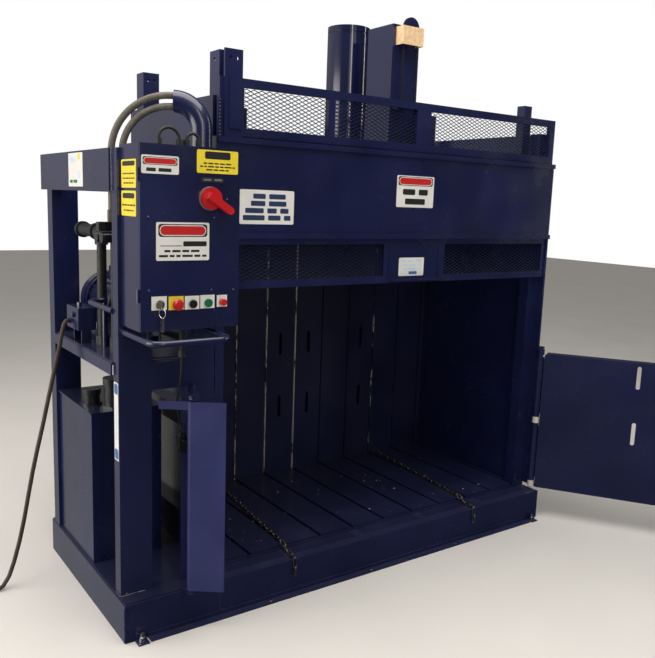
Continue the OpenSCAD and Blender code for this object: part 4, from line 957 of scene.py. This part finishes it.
# Soft lamps, in watts
lamps = {
    "ceilingSoft": {"at": (-0.6, -0.8, 4.6), "aim": (0, 0, 0.6), "size": (4.5, 3.2), "power": 190,
                    "color": (1.0, 0.97, 0.92)},
    "leftSoft": {"at": (-4.6, 0.6, 1.7), "aim": (0, 0.1, 1.0), "size": (3.4, 2.6), "power": 120,
                 "color": (1.0, 0.95, 0.9)},
    "leftStrip": {"at": (-1.6, -5.6, 3.2), "aim": (0, 0, 1.8), "size": (0.5, 4.2), "power": 44,
                  "color": (1.0, 0.93, 0.85)},
    "rightStrip": {"at": (5.2, -2.2, 3.0), "aim": (0, 0, 1.8), "size": (0.25, 4.2), "power": 40,
                   "color": (1.0, 0.96, 0.9)},
    "frontFill": {"at": (-1.0, -5.0, 2.6), "aim": (0, 0, 1.0), "size": (3.0, 2.0), "power": 20,
                  "color": (0.95, 0.97, 1.0)},
}


def makeLamp(name, values):
    data = bpy.data.lights.new(name, "AREA")
    data.shape = "RECTANGLE"
    data.size, data.size_y = values["size"]
    data.energy = values["power"]
    data.color = values["color"]
    obj = bpy.data.objects.new(name, data)
    bpy.context.scene.collection.objects.link(obj)
    obj.location = values["at"]
    obj.rotation_euler = (Vector(values["aim"]) - obj.location).to_track_quat("-Z", "Y").to_euler()


# White to the camera, and to the object a studio lit from the left, from behind and from above
worldValues = {
    "strength": 0.55,
    "leftFrom": 0.35,
    "left": 0.85,
    "behindFrom": 0.55,
    "behind": 1.4,
    "behindLeast": 0.12,
    "sky": 0.75,
    "least": 0.04,
    "dark": (0.02, 0.022, 0.03),
    "light": (1.0, 0.97, 0.93),
}


def worldLevel(tree, values):
    coord = tree.nodes.new("ShaderNodeTexCoord")
    parts = axesOf(tree, coord.outputs["Generated"])
    left = mathNode(tree, "MULTIPLY", mathNode(tree, "SUBTRACT", values["leftFrom"], parts["X"]), values["left"])
    behind = mathNode(tree, "ADD", mathNode(tree, "MULTIPLY", parts["Y"], values["behind"]), values["behindFrom"])
    behind = mathNode(tree, "MINIMUM", mathNode(tree, "MAXIMUM", behind, values["behindLeast"]), 1.0)
    sky = mathNode(tree, "MULTIPLY", mathNode(tree, "MAXIMUM", parts["Z"], 0.0), values["sky"])
    both = mathNode(tree, "ADD", mathNode(tree, "MULTIPLY", left, behind), sky)
    return mathNode(tree, "MAXIMUM", both, values["least"])


def makeWorld(values):
    world = bpy.data.worlds.new("studio")
    bpy.context.scene.world = world
    world.use_nodes = True
    tree = world.node_tree
    tree.nodes.clear()
    seen = tree.nodes.new("ShaderNodeBackground")
    seen.inputs["Color"].default_value = (1, 1, 1, 1)
    lit = tree.nodes.new("ShaderNodeBackground")
    lit.inputs["Strength"].default_value = values["strength"]
    tones = [(0.0, values["dark"]), (1.0, values["light"])]
    tree.links.new(ramp(tree, worldLevel(tree, values), tones), lit.inputs["Color"])
    path = tree.nodes.new("ShaderNodeLightPath")
    mix = tree.nodes.new("ShaderNodeMixShader")
    tree.links.new(path.outputs["Is Camera Ray"], mix.inputs[0])
    tree.links.new(lit.outputs[0], mix.inputs[1])
    tree.links.new(seen.outputs[0], mix.inputs[2])
    out = tree.nodes.new("ShaderNodeOutputWorld")
    tree.links.new(mix.outputs[0], out.inputs[0])


makeFloor(floorValues)
makeWorld(worldValues)
for lampName, lampValues in lamps.items():
    makeLamp(lampName, lampValues)
bpy.context.scene.view_settings.view_transform = "Standard"
print("stage: light")
